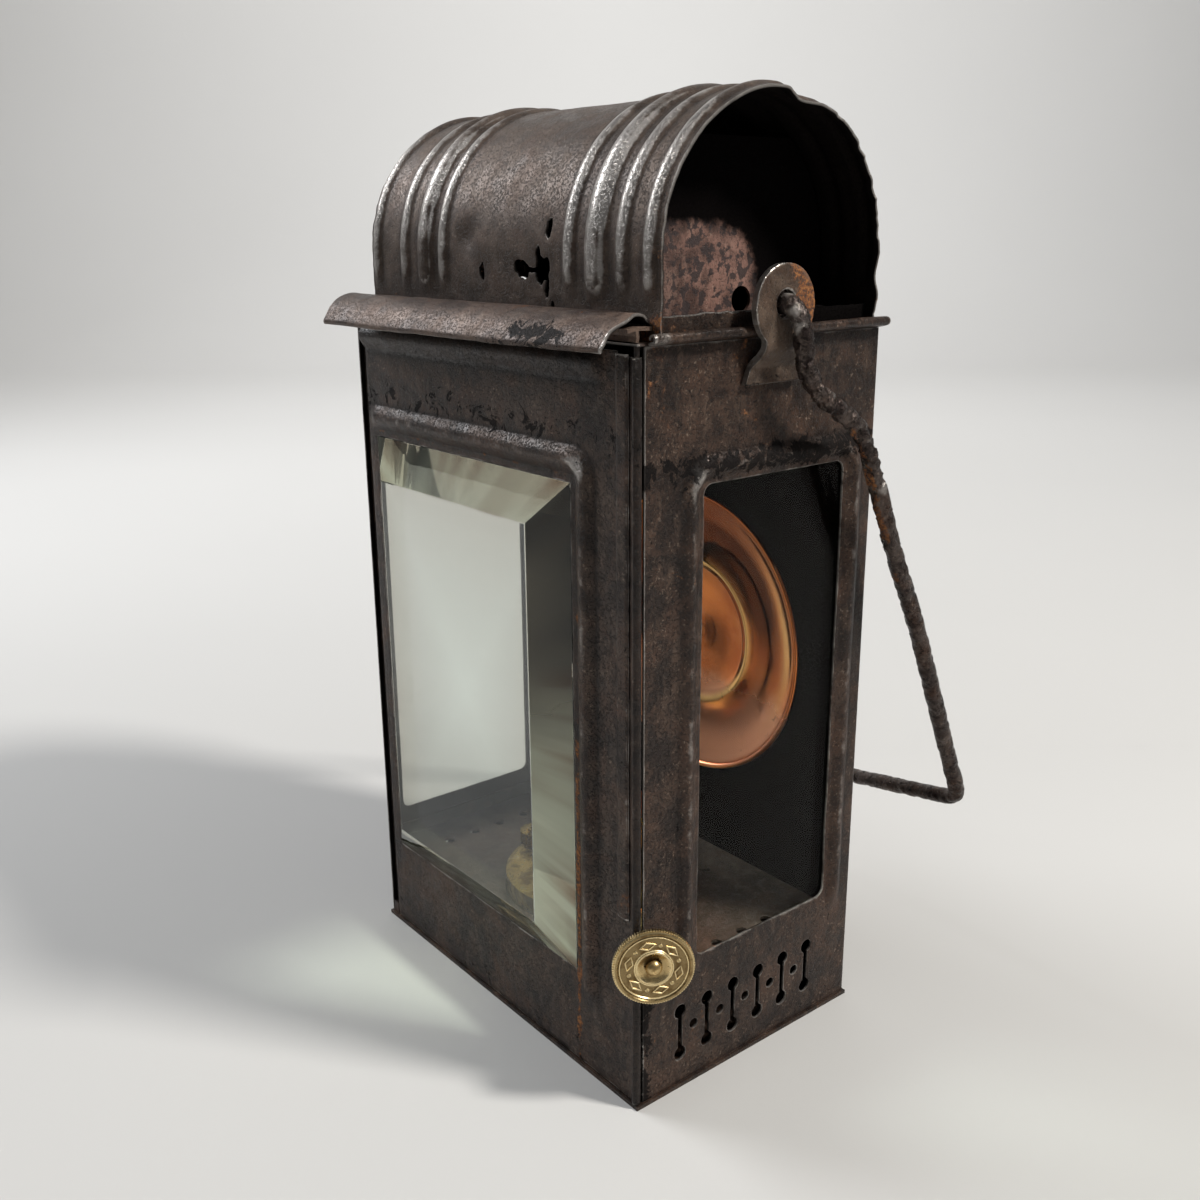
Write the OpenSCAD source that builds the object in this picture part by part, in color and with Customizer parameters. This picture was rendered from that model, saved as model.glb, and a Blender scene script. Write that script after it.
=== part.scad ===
/* [Body] */
// Outside width across the two end walls
body_w = 116; // [108:1:130]
// Outside depth from the front door to the rear wall
body_d = 74.2; // [72:0.2:84]
// Height of the walls above the table
body_h = 180; // [172:1:200]
// Thickness of the sheet iron
sheet = 0.8; // [0.6:0.1:1]
// Thickness of the bottom plate
base_t = 1; // [0.8:0.1:2]
// How far the bottom plate stands out past the walls
base_lip = 0.6; // [0.3:0.1:1.5]
// Height of the upturned rim inside the walls
rim_h = 4; // [2:0.5:8]
// Height of the chamber floor above the table
floor_z = 25; // [24:0.2:25]
// Gap between pieces that move past each other
fit_gap = 0.3; // [0.2:0.05:0.4]

/* [Front door] */
// Distance from the left outside wall to the front glass
glass_left = 7.5; // [7.2:0.1:9]
// Distance from the front glass to the right outside wall
glass_right = 23.1; // [22.4:0.1:32]
// Distance from the front glass to the top of the walls
glass_head = 30.7; // [29.9:0.1:44]
// Height of the lower edge of the front glass
glass_sill = 27.1; // [26.8:0.1:30]
// Width of the bevel
bevel_w = 10.2; // [6:0.2:14]
// How far the front glass stands out of the door
glass_proud = 5.3; // [3:0.1:6]
// Thickness of the slab edge behind the door sheet
slab_t = 2; // [1.5:0.1:3]
// How far the slab laps behind the door sheet
slab_lap = 1.4; // [0.8:0.1:1.6]
// Dark gap between the left wall and the door's free edge
door_gap = 3.6; // [3.2:0.1:4]
// Full width of the pressed bead round the front glass
door_bead_w = 6.8; // [5:0.2:7]
// Height of that bead
door_bead_h = 1.8; // [1:0.1:2.2]
// How far the door laps over its stop
stop_lap = 1; // [0.5:0.1:1.2]
// Distance from the glass edge to the middle of the bead
door_bead_off = 5.5; // [5.4:0.1:6]
// Bend radius of the bead's corner
door_bead_turn = 4.2; // [3.6:0.1:7]
// Width of the doubled stile strip beside the hinge
stile_w = 4.1; // [3:0.1:5]
// Distance from the hinge axis to the middle of the stile strip
stile_in = 4; // [3.6:0.1:5]
// Height at which the stile strip starts
stile_z = 50; // [48:1:60]
// Diameter of the hinge wire
pin_d = 1.2; // [1:0.1:1.4]
// Outside diameter of the rolled hinge edge
roll_d = 2.2; // [2:0.1:2.4]
// Radial running clearance round the hinge wire
pin_clear = 0.05; // [0.02:0.01:0.08]
// Distance from the end wall's outside to the hinge axis
pin_in = 0.8; // [0.7:0.05:1.2]
// Depth that the hinge wire is let into the bottom plate
pin_seat = 0.5; // [0.3:0.1:0.7]

/* [End windows] */
// Height of the window's lower edge
win_sill = 34.3; // [33:0.1:36]
// Distance from the window's upper edge to the top of the walls
win_head = 30.1; // [28.7:0.1:44]
// Distance from the front of the body to the window
win_front = 18.6; // [18:0.1:19]
// Distance from the window to the back of the body
win_back = 10.2; // [10:0.1:18]
// Corner radius of the window
win_r = 2.5; // [1:0.1:3]
// Full width of the pressed bead round the window
side_bead_w = 5.4; // [4:0.2:5.6]
// Height of that bead
side_bead_h = 1.4; // [0.9:0.1:1.8]
// Distance from the window edge to the middle of the bead
side_bead_off = 3.9; // [3.7:0.1:4]
// Thickness of the side panes
pane_t = 2; // [1.5:0.1:3]
// How far a side pane laps past the window
pane_lap = 6.8; // [6.7:0.1:7]
// Thickness of the rails that hold the panes
rail_t = 0.8; // [0.6:0.1:1]
// How far a rail laps over its pane
rail_lap = 3; // [2:0.2:4]

/* [Air slots] */
// Number of dumbbell slots in each end wall
slot_count = 6; // [3:1:6]
// Distance from slot to slot
slot_pitch = 8.95; // [7:0.05:9]
// Distance from the front of the body to the first slot
slot_front = 13.75; // [13:0.05:15]
// Height of the lower lobes
lobe_low_z = 9.2; // [8:0.1:10]
// Height of the upper lobes
lobe_high_z = 21; // [19:0.1:21.4]
// Diameter of a lobe
lobe_d = 3.8; // [2.8:0.1:4.2]
// Width of the neck between two lobes
neck_w = 1.5; // [1:0.1:2]
// Diameter of the round holes between the slots
vent_d = 2.7; // [1.8:0.1:3]
// Height of the round holes
vent_z = 15.7; // [14:0.1:17]

/* [Deck and hood] */
// Distance from the wall to the middle of the rolled deck edge
deck_over = 1.9; // [1.7:0.1:1.9]
// Outside diameter of the rolled deck edge
deck_roll_d = 2.2; // [2:0.1:2.2]
// Diameter of the wire in the rolled deck edge
rim_wire_d = 1; // [0.8:0.1:1.2]
// Distance from the front of the body to the end of that roll
deck_roll_front = 2; // [2:0.1:6]
// How far the deck stands out past the door
deck_lip = 0.8; // [0.7:0.1:1.2]
// Radius of the smoke opening in the deck
smoke_r = 22; // [16:0.5:24]
// Height of the upstand in each roof mouth
collar_h = 5.2; // [3:0.1:5.4]
// Distance from a roof mouth to its upstand
collar_in = 3; // [2.2:0.1:4]
// How far the drip hood reaches past the door
hood_reach = 8.9; // [7:0.1:9.4]
// Height of the hood's crest above the deck
hood_crest = 5.4; // [5:0.1:6]
// Drop from the hood's crest to its lip
hood_drop = 7; // [6:0.1:8]

/* [Roof] */
// Distance from the rear wall's outside to the side of the barrel roof
roof_inset = 3.8; // [3.5:0.1:6]
// Height of the roof's straight sides
roof_side_h = 16.6; // [14:0.1:22]
// Distance from the left wall in to the left roof mouth
roof_left_in = 3.5; // [1:0.1:6]
// How far the right roof mouth stands out past the right wall
roof_right_out = 2.6; // [0:0.1:2.8]
// Height of the wide roof beads
bead_high = 1.7; // [1:0.1:2]
// Width of the wide roof beads
bead_wide = 6.6; // [5:0.2:7]
// Height of the narrow roof beads
bead_low = 1; // [0.6:0.1:1.2]
// Width of the narrow roof beads
bead_narrow = 4.4; // [3:0.2:4.6]
// Distances of the left wide bead and the three narrow ones from the left mouth
left_wide = 27.2; // [26:0.1:28]
left_narrow = [3.2, 17.1, 35.1]; // [3:0.1:36]
// Distances of the right wide bead and the three narrow ones from the right mouth
right_wide = 20.9; // [20:0.1:22]
right_narrow = [3.6, 12.5, 30]; // [3:0.1:31]
// Height above the deck at which the roof beads begin
bead_foot = 7; // [6.8:0.1:12]
// Distance from the end wall's outside in to each baffle plate
baffle_in = 16; // [14:0.5:20]
// Draught gap over a baffle plate
baffle_gap = 8; // [5:0.5:12]
// Diameter of the hole in a baffle plate
baffle_hole_d = 6; // [4:0.2:8]
// Distance of that hole behind the middle
baffle_hole_y = 6.5; // [0:0.5:12]
// Height of that hole above the deck
baffle_hole_z = 6.2; // [5:0.1:12]

/* [Bail and ears] */
// Thickness of an ear
ear_t = 2; // [1.6:0.1:2]
// Radius of an ear's head
ear_r = 9; // [7:0.1:10]
// Height of the bail's pivot above the deck
pivot_h = 6.3; // [6.1:0.1:8]
// Diameter of the hole in an ear
ear_hole_d = 6; // [5.6:0.1:6.4]
// Distance from the wall to the inside of an ear's head
ear_stand = 3.1; // [3.1:0.1:3.4]
// Width of an ear's foot
ear_foot_w = 17; // [12:0.5:20]
// Distance from the deck down to the end of the foot
ear_drop = 9.8; // [8.6:0.1:12]
// Diameter of the bail wire
bail_d = 4.6; // [3.6:0.1:4.8]
// Distance from an ear's outside to the middle of the bail's arm
bail_side = 2.9; // [2.8:0.1:4]
// Diameter of the upset head inside an ear
bail_head_d = 7; // [6.6:0.1:7.4]
// Thickness of that head
bail_head_t = 1.4; // [1:0.1:1.5]

/* [Reflector] */
// Outside radius of the reflector
refl_r = 41; // [34:0.5:43]
// Height of its middle above the table
refl_z = 92; // [84:1:110]
// Depth of the dish
refl_depth = 3.8; // [2:0.1:5]
// Radius of the step round its middle
refl_hub_r = 20.7; // [14:0.1:24]
// Thickness of the copper
refl_t = 0.6; // [0.4:0.05:0.8]
// Diameter of the rivet that holds it
refl_rivet_d = 3; // [2:0.1:4]

/* [Lamp] */
// Width of a font clip
clip_w = 6; // [4:0.5:10]
// Thickness of a font clip
clip_t = 0.6; // [0.4:0.1:0.8]
// Height of a font clip's upright leg
clip_h = 3; // [2:0.5:5]
// Length of a font clip's foot
clip_foot = 6; // [4:0.5:8]
// Diameter of an air hole in the chamber floor
floor_hole_d = 3.2; // [2:0.1:4]
// Distance between those holes
floor_hole_pitch = 9; // [8:0.5:12]
// Distance from the end wall to the row of those holes
floor_hole_in = 12; // [10:0.5:14]
// Outside radius of the oil font
font_r = 24; // [20:0.5:24]
// Height of the font's straight side
font_h = 28; // [26:0.5:28]
// Rise of the font's top
font_rise = 4; // [3:0.2:4]
// Wall of the font
font_wall = 0.6; // [0.5:0.1:1]
// Distance from the font's side in to the middle of the filler
filler_in = 4.8; // [4.4:0.1:5]
// Outside radius of the filler neck
filler_r = 3.2; // [2.8:0.1:3.4]
// Height of the filler neck above the font's side
filler_h = 5; // [4.6:0.1:6]
// Thickness of the washer under the filler cap
washer_t = 0.8; // [0.5:0.1:1]
// Height of the filler cap
cap_h = 3.4; // [2.8:0.1:3.6]
// Inside radius of the burner collar
collar_r = 9; // [8.5:0.1:9]
// Wall of the burner collar
collar_wall = 2; // [1:0.1:2]
// Height of the burner collar
collar_rise = 3.8; // [3.4:0.1:3.9]
// Height of the burner's wick wheels above the table
spindle_z = 40.5; // [40:0.1:42]
// Radius of the burner's gallery
gallery_r = 10.4; // [9.6:0.1:11]
// Height of the gallery
gallery_h = 8.8; // [8:0.1:9]
// Radius of the burner's cone
cone_r = 13; // [12.2:0.1:15]
// Height of the cone
cone_h = 7; // [5:0.1:9]
// Width of the flat wick
wick_w = 12; // [10:0.2:12]
// Thickness of the flat wick
wick_t = 2.6; // [2:0.1:2.6]
// Wall of the wick tube
tube_wall = 0.6; // [0.4:0.05:0.6]
// Gap between the wick and its tube
wick_gap = 0.3; // [0.2:0.05:0.4]
// Height of the wick tube's top above the table
tube_top = 52; // [51:0.1:54]
// How far the wick stands out of its tube
wick_out = 1.5; // [1:0.1:2.5]

/* [Wick raiser] */
// Distance from the front of the body to where the spindle leaves the end wall
spindle_front = 3.97; // [3.95:0.01:4.4]
// Diameter of the spindle
spindle_d = 1.8; // [1.6:0.1:2]
// Tip radius of the toothed wheels
wheel_r = 2.4; // [2.2:0.1:2.6]
// Width of a toothed wheel
wheel_w = 2; // [1.5:0.1:2.5]
// Distance between the two wheels
wheel_gap = 4; // [3:0.2:5]
// Distance along the spindle from the end wall to the knob's front
knob_stand = 5.9; // [5.8:0.1:9]
// Length of the hub behind the knob
knob_hub = 1.9; // [1:0.1:2]
// Diameter of the knob
knob_d = 19.3; // [16:0.1:20]
// Thickness of the knob's rim
knob_t = 2.2; // [1.6:0.1:2.6]
// Radius of the hollow in the knob's middle
knob_hollow_r = 4; // [3:0.1:5]
// Radius of the ring that carries the lozenges
knob_ring_r = 6.2; // [5.6:0.1:6.6]
// Length of the bearing sleeve inside the end wall
bush_l = 8.1; // [5:0.1:10]
// Wall of that sleeve
bush_wall = 0.85; // [0.6:0.05:1.2]

/* [Hidden] */
$fn = 64;

iron = "#4a3f39";
iron_worn = "#6b615c";
iron_rust = "#5a4338";
copper = "#b06a38";
brass = "#97814b";
clear = "#b7c9bf";

// Walls
hx = body_w / 2;
hy = body_d / 2;
in_x = hx - sheet;
in_y = hy - sheet;
deck_top = body_h + sheet;
cut = 1;
seam = 0.1;

// Hinge of the door
roll_r = roll_d / 2;
pin_x = hx - pin_in;
pin_y = -hy + 0.2;
wall_front = pin_y + roll_r + fit_gap + seam;

// Door and front glass
door_x0 = -hx + door_gap;
door_z0 = base_t + fit_gap;
roll_z1 = body_h - fit_gap - seam;
hood_low = deck_top + hood_crest - hood_drop - sheet / 2;
door_z1 = min(roll_z1, hood_low - fit_gap);
gx0 = -hx + glass_left;
gx1 = hx - glass_right;
gz0 = glass_sill;
gz1 = body_h - glass_head;
glass_w = gx1 - gx0;
glass_h = gz1 - gz0;
slab_y = -in_y + slab_t;
front_rim_y = -in_y + fit_gap;
rail_back = slab_y + rail_t;
floor_front = rail_back + fit_gap + seam;

// End windows, measured along the wall from the middle
wy0 = -hy + win_front;
wy1 = hy - win_back;
wz0 = win_sill;
wz1 = body_h - win_head;
pane_x = in_x - pane_t;

// Roof
spring_z = deck_top + roof_side_h;
roof_r = hy - roof_inset;
roof_in = roof_r - sheet;
roof_left = hx - roof_left_in;
roof_right = hx + roof_right_out;
wide_beads = [left_wide - roof_left, roof_right - right_wide];
narrow_beads = concat([for (d = left_narrow) d - roof_left], [for (d = right_narrow) roof_right - d]);
roof_back = -roof_inset + seam + sheet / 4;
deck_edge_z = deck_top + deck_roll_d / 2 - fit_gap;
baffle_x = hx - baffle_in;

// Ears and bail
ear_in = hx + ear_stand;
ear_out = ear_in + ear_t;
pivot_z = deck_top + pivot_h;
arm_x = ear_out + bail_side;
bail_r = bail_d / 2;

// Burner, measured in its own turned frame
tube_in_w = wick_w + 2 * wick_gap;
tube_in_t = wick_t + 2 * wick_gap;
tube_out_w = tube_in_w + 2 * tube_wall;
tube_out_t = tube_in_t + 2 * tube_wall;
wheel_clear = 0.1;
spindle_off = wick_t / 2 + wheel_clear + wheel_r;
spindle_r = spindle_d / 2;
bush_r = spindle_r + pin_clear;
exit_y = spindle_front - hy;
spindle_angle = atan2(-exit_y, hx) + asin(spindle_off / norm([hx, exit_y]));
wall_reach = (hx - spindle_off * sin(spindle_angle)) / cos(spindle_angle);
knob_reach = wall_reach + knob_stand;
font_side_top = base_t + font_h;
font_top_z = font_side_top + font_rise;
collar_top = font_top_z + collar_rise;
base_plate_t = 0.8;
gallery_z = collar_top + base_plate_t;
cone_z = gallery_z + gallery_h;

module slab(lo, hi) {
    translate(lo) cube(hi - lo);
}

// Rounded window as a flat outline
module round_window(x0, x1, y0, y1, r) {
    translate([x0 + r, y0]) square([x1 - x0 - 2 * r, y1 - y0]);
    translate([x0, y0 + r]) square([x1 - x0, y1 - y0 - 2 * r]);
    for (x = [x0 + r, x1 - r], y = [y0 + r, y1 - r]) translate([x, y]) circle(r);
}

// Section of a pressed bead: w wide and h high, with its arc drawn in by deep
module bead_section(w, h, deep, low) {
    arc_r = (w * w / 4 + h * h) / (2 * h);
    intersection() {
        translate([0, h - arc_r]) circle(arc_r - deep);
        translate([-w, low]) square([2 * w, h - low + cut]);
    }
}

// Runs a section up the right side, round the corner and along the top of a rectangle
module frame_run(x0, x1, y0, y1, turn, left_side) {
    top_x0 = left_side ? x0 + turn : x0;
    translate([x1, y1 - turn, 0]) rotate([90, 0, 0]) linear_extrude(y1 - turn - y0) children();
    translate([x1 - turn, y1 - turn, 0]) rotate_extrude(angle = 90) translate([turn, 0]) children();
    translate([top_x0, y1, 0]) rotate([90, 0, 90]) linear_extrude(x1 - turn - top_x0) children();
    if (left_side) {
        translate([x0 + turn, y1 - turn, 0]) rotate([0, 0, 90]) rotate_extrude(angle = 90)
            translate([turn, 0]) children();
        translate([x0, y1 - turn, 0]) rotate([90, 0, 0]) linear_extrude(y1 - turn - y0) children();
    }
}

module base_tray() {
    color(iron) difference() {
        union() {
            slab([-hx - base_lip, -hy - base_lip, 0], [hx + base_lip, hy + base_lip, base_t]);
            difference() {
                slab([-in_x, front_rim_y, 0], [in_x, in_y, base_t + rim_h]);
                slab([-in_x + sheet, front_rim_y + sheet, base_t],
                    [in_x - sheet, in_y - sheet, base_t + rim_h + cut]);
            }
            slab([-in_x, -hy, 0],
                [door_x0 - fit_gap, front_rim_y + sheet / 2, base_t + rim_h - fit_gap]);
        }
        translate([pin_x, pin_y, base_t]) cylinder(r = roll_r + fit_gap, h = rim_h + cut);
        translate([pin_x, pin_y, base_t - pin_seat]) cylinder(r = pin_d / 2 + pin_clear, h = 2 * base_t);
    }
}

// One dumbbell air slot and the holes beside it
module air_slots(deep) {
    for (i = [0:slot_count - 1]) translate([-hy + slot_front + i * slot_pitch, 0, -deep]) {
        for (z = [lobe_low_z, lobe_high_z]) translate([0, z, 0]) cylinder(d = lobe_d, h = 2 * deep);
        translate([-neck_w / 2, lobe_low_z, 0]) cube([neck_w, lobe_high_z - lobe_low_z, 2 * deep]);
        if (i < slot_count - 1) translate([slot_pitch / 2, vent_z, 0]) cylinder(d = vent_d, h = 2 * deep);
    }
}

// End wall facing +X; front_y is where its front edge stops
module end_wall(front_y) {
    off = side_bead_off;
    turn = win_r + off;
    rotate([90, 0, 90]) translate([0, 0, hx]) difference() {
        union() {
            slab([front_y, base_t, -sheet], [hy, body_h, 0]);
            frame_run(wy0 - off, wy1 + off, wz0, wz1 + off, turn, true)
                bead_section(side_bead_w, side_bead_h, 0, -sheet / 2);
        }
        frame_run(wy0 - off, wy1 + off, wz0, wz1 + off, turn, true)
            bead_section(side_bead_w, side_bead_h, sheet, -sheet - cut);
        translate([0, 0, -sheet - cut]) linear_extrude(sheet + side_bead_h + 2 * cut)
            round_window(wy0, wy1, wz0, wz1, win_r);
        air_slots(sheet + cut);
    }
}

module end_wall_right() {
    color(iron) difference() {
        end_wall(wall_front);
        on_spindle() cylinder(r = spindle_r + fit_gap, h = knob_reach);
    }
}

module end_wall_left() {
    color(iron) rotate([0, 0, 180]) end_wall(-hy);
}

module rear_wall() {
    color(iron) difference() {
        union() {
            slab([-in_x, in_y, base_t], [in_x, hy, body_h]);
            for (side = [-1, 1]) translate([side * (in_x - sheet / 2), in_y - sheet, 0])
                slab([-sheet / 2, -sheet, floor_z], [sheet / 2, sheet * 1.5, body_h]);
        }
        translate([0, 0, refl_z]) rotate([-90, 0, 0]) cylinder(d = refl_rivet_d, h = body_d);
    }
}

module chamber_floor() {
    color(iron_worn) difference() {
        slab([-in_x, floor_front, floor_z - sheet], [in_x, in_y, floor_z]);
        cylinder(r = font_r + fit_gap, h = body_h);
        for (side = [-1, 1], i = [-2:2])
            translate([side * (hx - floor_hole_in), i * floor_hole_pitch, 0])
                cylinder(d = floor_hole_d, h = body_h);
    }
}

module door_stop() {
    color(iron) slab([-in_x, front_rim_y, base_t + rim_h], [door_x0 + stop_lap, front_rim_y + sheet, body_h]);
}

// Round bars along both rolled edges of the deck, from back towards the front
module edge_bars(d, back, length) {
    for (side = [-1, 1]) translate([side * (hx + deck_over), back, deck_edge_z])
        rotate([90, 0, 0]) cylinder(d = d, h = length);
}

module deck_plate() {
    edge_x = hx + deck_over;
    color(iron) difference() {
        union() {
            slab([-hx - sheet, -hy - deck_lip, body_h], [hx + sheet, hy + base_lip, deck_top]);
            slab([-edge_x, -hy + deck_roll_front, body_h], [edge_x, hy + base_lip, deck_top]);
            edge_bars(deck_roll_d, hy + base_lip, body_d - deck_roll_front + base_lip);
            slab([roof_right - collar_in - sheet, -roof_in + seam, body_h],
                [roof_right - collar_in, roof_in - seam, deck_top + collar_h]);
            slab([-roof_left + collar_in, -roof_in + seam, body_h],
                [-roof_left + collar_in + sheet, roof_in - seam, deck_top + collar_h]);
        }
        cylinder(r = smoke_r, h = 2 * body_h);
        translate([pin_x, pin_y, 0]) cylinder(r = pin_d / 2 + pin_clear, h = 2 * body_h);
        edge_bars(rim_wire_d + seam, 2 * body_d, 4 * body_d);
    }
}

module rim_wires() {
    color(iron_worn) edge_bars(rim_wire_d, hy + base_lip, body_d - deck_roll_front + base_lip);
}

// Closed outline of a bent strip of even thickness that follows points
function turn_at(p, i) = let (a = p[max(i - 1, 0)], b = p[min(i + 1, len(p) - 1)], d = (b - a) / norm(b - a))
    [-d[1], d[0]];
function strip(p, t) = concat(
    [for (i = [0:len(p) - 1]) p[i] + turn_at(p, i) * t / 2],
    [for (i = [len(p) - 1:-1:0]) p[i] - turn_at(p, i) * t / 2]);

// A strip drawn in distance past the door and height above the deck, run along the width
module long_strip(points, t) {
    translate([-hx, -hy, deck_top]) rotate([90, 0, 90]) linear_extrude(body_w)
        polygon(strip([for (p = points) [-p[0], p[1]]], t));
}

// Ogee in section: flat behind the wall, then a swell and a turned-up lip in shares of reach and drop
module drip_hood() {
    r = hood_reach;
    c = hood_crest;
    d = hood_drop;
    color(iron) long_strip([[roof_back, 0.69 * c], [roof_back + 0.11 * r, 0.8 * c], [roof_back + 0.22 * r, c],
        [0.07 * r, c + 0.01 * d], [0.27 * r, c - 0.07 * d], [0.46 * r, c - 0.23 * d], [0.61 * r, c - 0.43 * d],
        [0.81 * r, c - 0.77 * d], [r, c - d], [1.1 * r, c - 0.97 * d], [1.12 * r, c - 0.86 * d]], sheet);
}

// A low upright leg on the deck and a shelf under the hood
module hood_bracket() {
    leg = hood_crest / 2;
    foot = sheet / 4;
    color(iron_rust) {
        long_strip([[sheet / 2, foot], [sheet / 4, leg / 2], [sheet / 2, leg]], sheet);
        long_strip([[roof_back, leg], [roof_back / 2, 1.04 * leg], [sheet / 2, 1.07 * leg],
            [hood_reach / 3, 0.93 * leg]], sheet);
    }
}

// Roof sheet in section: radius across and lantern width up, with or without its pressed beads
module roof_section(beaded) {
    difference() {
        union() {
            translate([roof_in, -roof_left]) square([sheet, roof_left + roof_right]);
            if (beaded) roof_beads(0);
        }
        if (beaded) roof_beads(sheet);
    }
}

module roof_beads(deep) {
    low = deep == 0 ? -sheet / 2 : -sheet - cut;
    translate([roof_r, 0]) rotate([0, 0, -90]) mirror([1, 0]) {
        for (x = wide_beads) translate([x, 0]) bead_section(bead_wide, bead_high, deep, low);
        for (x = narrow_beads) translate([x, 0]) bead_section(bead_narrow, bead_low, deep, low);
    }
}

module worn_holes() {
    rotate([90, 0, 0]) linear_extrude(body_d) translate([0, spring_z]) {
        polygon([[12.4, -2.6], [15, -1], [18, -1.8], [20.6, -0.6], [21.4, -3.6], [18.4, -6.4], [15.6, -4.8],
            [14.2, -6], [12.6, -4.6]]);
        translate([-2.9, -3.4]) circle(d = 2.4);
        translate([24.5, -10.9]) circle(d = 1.6);
    }
}

module roof_barrel() {
    color(iron_worn) difference() {
        union() {
            translate([0, 0, spring_z]) rotate([90, 0, 90]) rotate_extrude(angle = 180) roof_section(true);
            for (side = [0, 1]) mirror([0, side, 0]) translate([0, 0, deck_top]) mirror([1, 0, 0])
                rotate([0, 0, 90]) {
                    linear_extrude(bead_foot) roof_section(false);
                    translate([0, 0, bead_foot]) linear_extrude(roof_side_h - bead_foot) roof_section(true);
                }
        }
        worn_holes();
        edge_bars(deck_roll_d + 2 * seam, 2 * body_d, 4 * body_d);
    }
}

module baffle() {
    r = roof_in - seam;
    color(iron_rust) difference() {
        union() {
            translate([0, 0, spring_z]) rotate([0, 90, 0]) cylinder(r = r, h = sheet);
            slab([0, -r, deck_top], [sheet, r, spring_z]);
        }
        slab([-cut, -body_d, 0], [sheet + cut, body_d, deck_top]);
        slab([-cut, -body_d, spring_z + r - baffle_gap], [sheet + cut, body_d, 2 * body_h]);
        translate([-cut, baffle_hole_y, deck_top + baffle_hole_z]) rotate([0, 90, 0])
            cylinder(d = baffle_hole_d, h = sheet + 2 * cut);
    }
}

module baffle_right() {
    translate([baffle_x, 0, 0]) baffle();
}

module baffle_left() {
    mirror([1, 0, 0]) translate([baffle_x, 0, 0]) baffle();
}

module ear() {
    foot_z = body_h - ear_drop;
    bend_z = foot_z + 3.6;
    head_z = body_h - seam;
    foot = ear_foot_w / 2;
    color(iron_rust) intersection() {
        rotate([90, 0, 0]) translate([0, 0, -body_d]) linear_extrude(2 * body_d)
            polygon([[hx, foot_z], [hx + ear_t, foot_z], [hx + ear_t, bend_z],
                [ear_out, head_z - ear_stand / 2], [ear_out, 2 * body_h], [ear_in, 2 * body_h],
                [ear_in, head_z], [hx, bend_z + ear_stand / 2]]);
        difference() {
            rotate([90, 0, 90]) linear_extrude(body_w) {
                polygon([[-foot, foot_z], [foot, foot_z], [foot * 0.86, foot_z + 3], [foot * 0.68, foot_z + 6],
                    [foot * 0.66, head_z], [ear_r, pivot_z], [-ear_r, pivot_z], [-foot * 0.66, head_z],
                    [-foot * 0.68, foot_z + 6], [-foot * 0.86, foot_z + 3]]);
                translate([0, pivot_z - 0.5]) circle(ear_r);
            }
            translate([0, 0, pivot_z]) rotate([0, 90, 0]) cylinder(d = ear_hole_d, h = body_w);
        }
    }
}

module ear_right() {
    ear();
}

module ear_left() {
    mirror([1, 0, 0]) ear();
}

// Bail wire: one half of its route from the pivot, as offsets in depth and height
bail_arm = [[0.6, -1.6], [1.6, -4.5], [3.4, -13], [7, -18.2], [12, -22], [18, -25.6], [22.6, -29.4],
    [27.8, -38.5], [36.6, -58.2], [47.8, -80], [58.2, -103], [67, -123]];
bail_corner = 9;
bail_turn = [[71.6, -133.2], [73, -136.6]];
bail_bar = [[73.6, -138.2], [74.6, -140.6], [75.8, -143], [77, -145.4], [78, -147.2], [78.4, -148]];
bail_low = bail_bar[len(bail_bar) - 1];
bar_x = [for (i = [0:len(bail_bar) - 1]) (arm_x - bail_corner) * (1 - i / (len(bail_bar) - 1))];
bail_half = concat(
    [[ear_out - 0.4, 0, 0], [ear_out + 0.8, 0, 0]],
    [for (i = [0:len(bail_arm) - 1]) [arm_x - (i == 0 ? 0.8 : 0), bail_arm[i][0], bail_arm[i][1]]],
    [for (i = [0, 1]) [arm_x - i * bail_corner * 0.3, bail_turn[i][0], bail_turn[i][1]]],
    [for (i = [0:len(bail_bar) - 1]) [bar_x[i], bail_bar[i][0], bail_bar[i][1]]]);
bail_route = concat(bail_half,
    [for (i = [len(bail_half) - 2:-1:0]) [-bail_half[i][0], bail_half[i][1], bail_half[i][2]]]);

// A smooth curve through points, with steps rings between two of them
function knot(p, i) = p[min(max(i, 0), len(p) - 1)];
function bend(a, b, c, d, t) = 0.5 * ((2 * b) + (c - a) * t + (2 * a - 5 * b + 4 * c - d) * t * t
    + (3 * b - a - 3 * c + d) * t * t * t);
function smooth(p, steps) = concat([for (i = [0:len(p) - 2], s = [0:steps - 1])
    bend(knot(p, i - 1), p[i], p[i + 1], knot(p, i + 2), s / steps)], [p[len(p) - 1]]);

module wire(route, r, sides, plane) {
    n = len(route);
    points = [for (i = [0:n - 1]) let (
            t = route[min(i + 1, n - 1)] - route[max(i - 1, 0)],
            b = cross(t, plane) / norm(cross(t, plane)),
            c = cross(b, t / norm(t)))
        for (k = [0:sides - 1]) route[i] + r * (cos(360 * k / sides) * b + sin(360 * k / sides) * c)];
    sleeve = [for (i = [0:n - 2], k = [0:sides - 1]) let (m = (k + 1) % sides)
        [i * sides + k, i * sides + m, (i + 1) * sides + m, (i + 1) * sides + k]];
    first = [for (k = [sides - 1:-1:0]) k];
    last = [for (k = [0:sides - 1]) (n - 1) * sides + k];
    polyhedron(points, concat([first], sleeve, [last]), convexity = 8);
}

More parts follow.
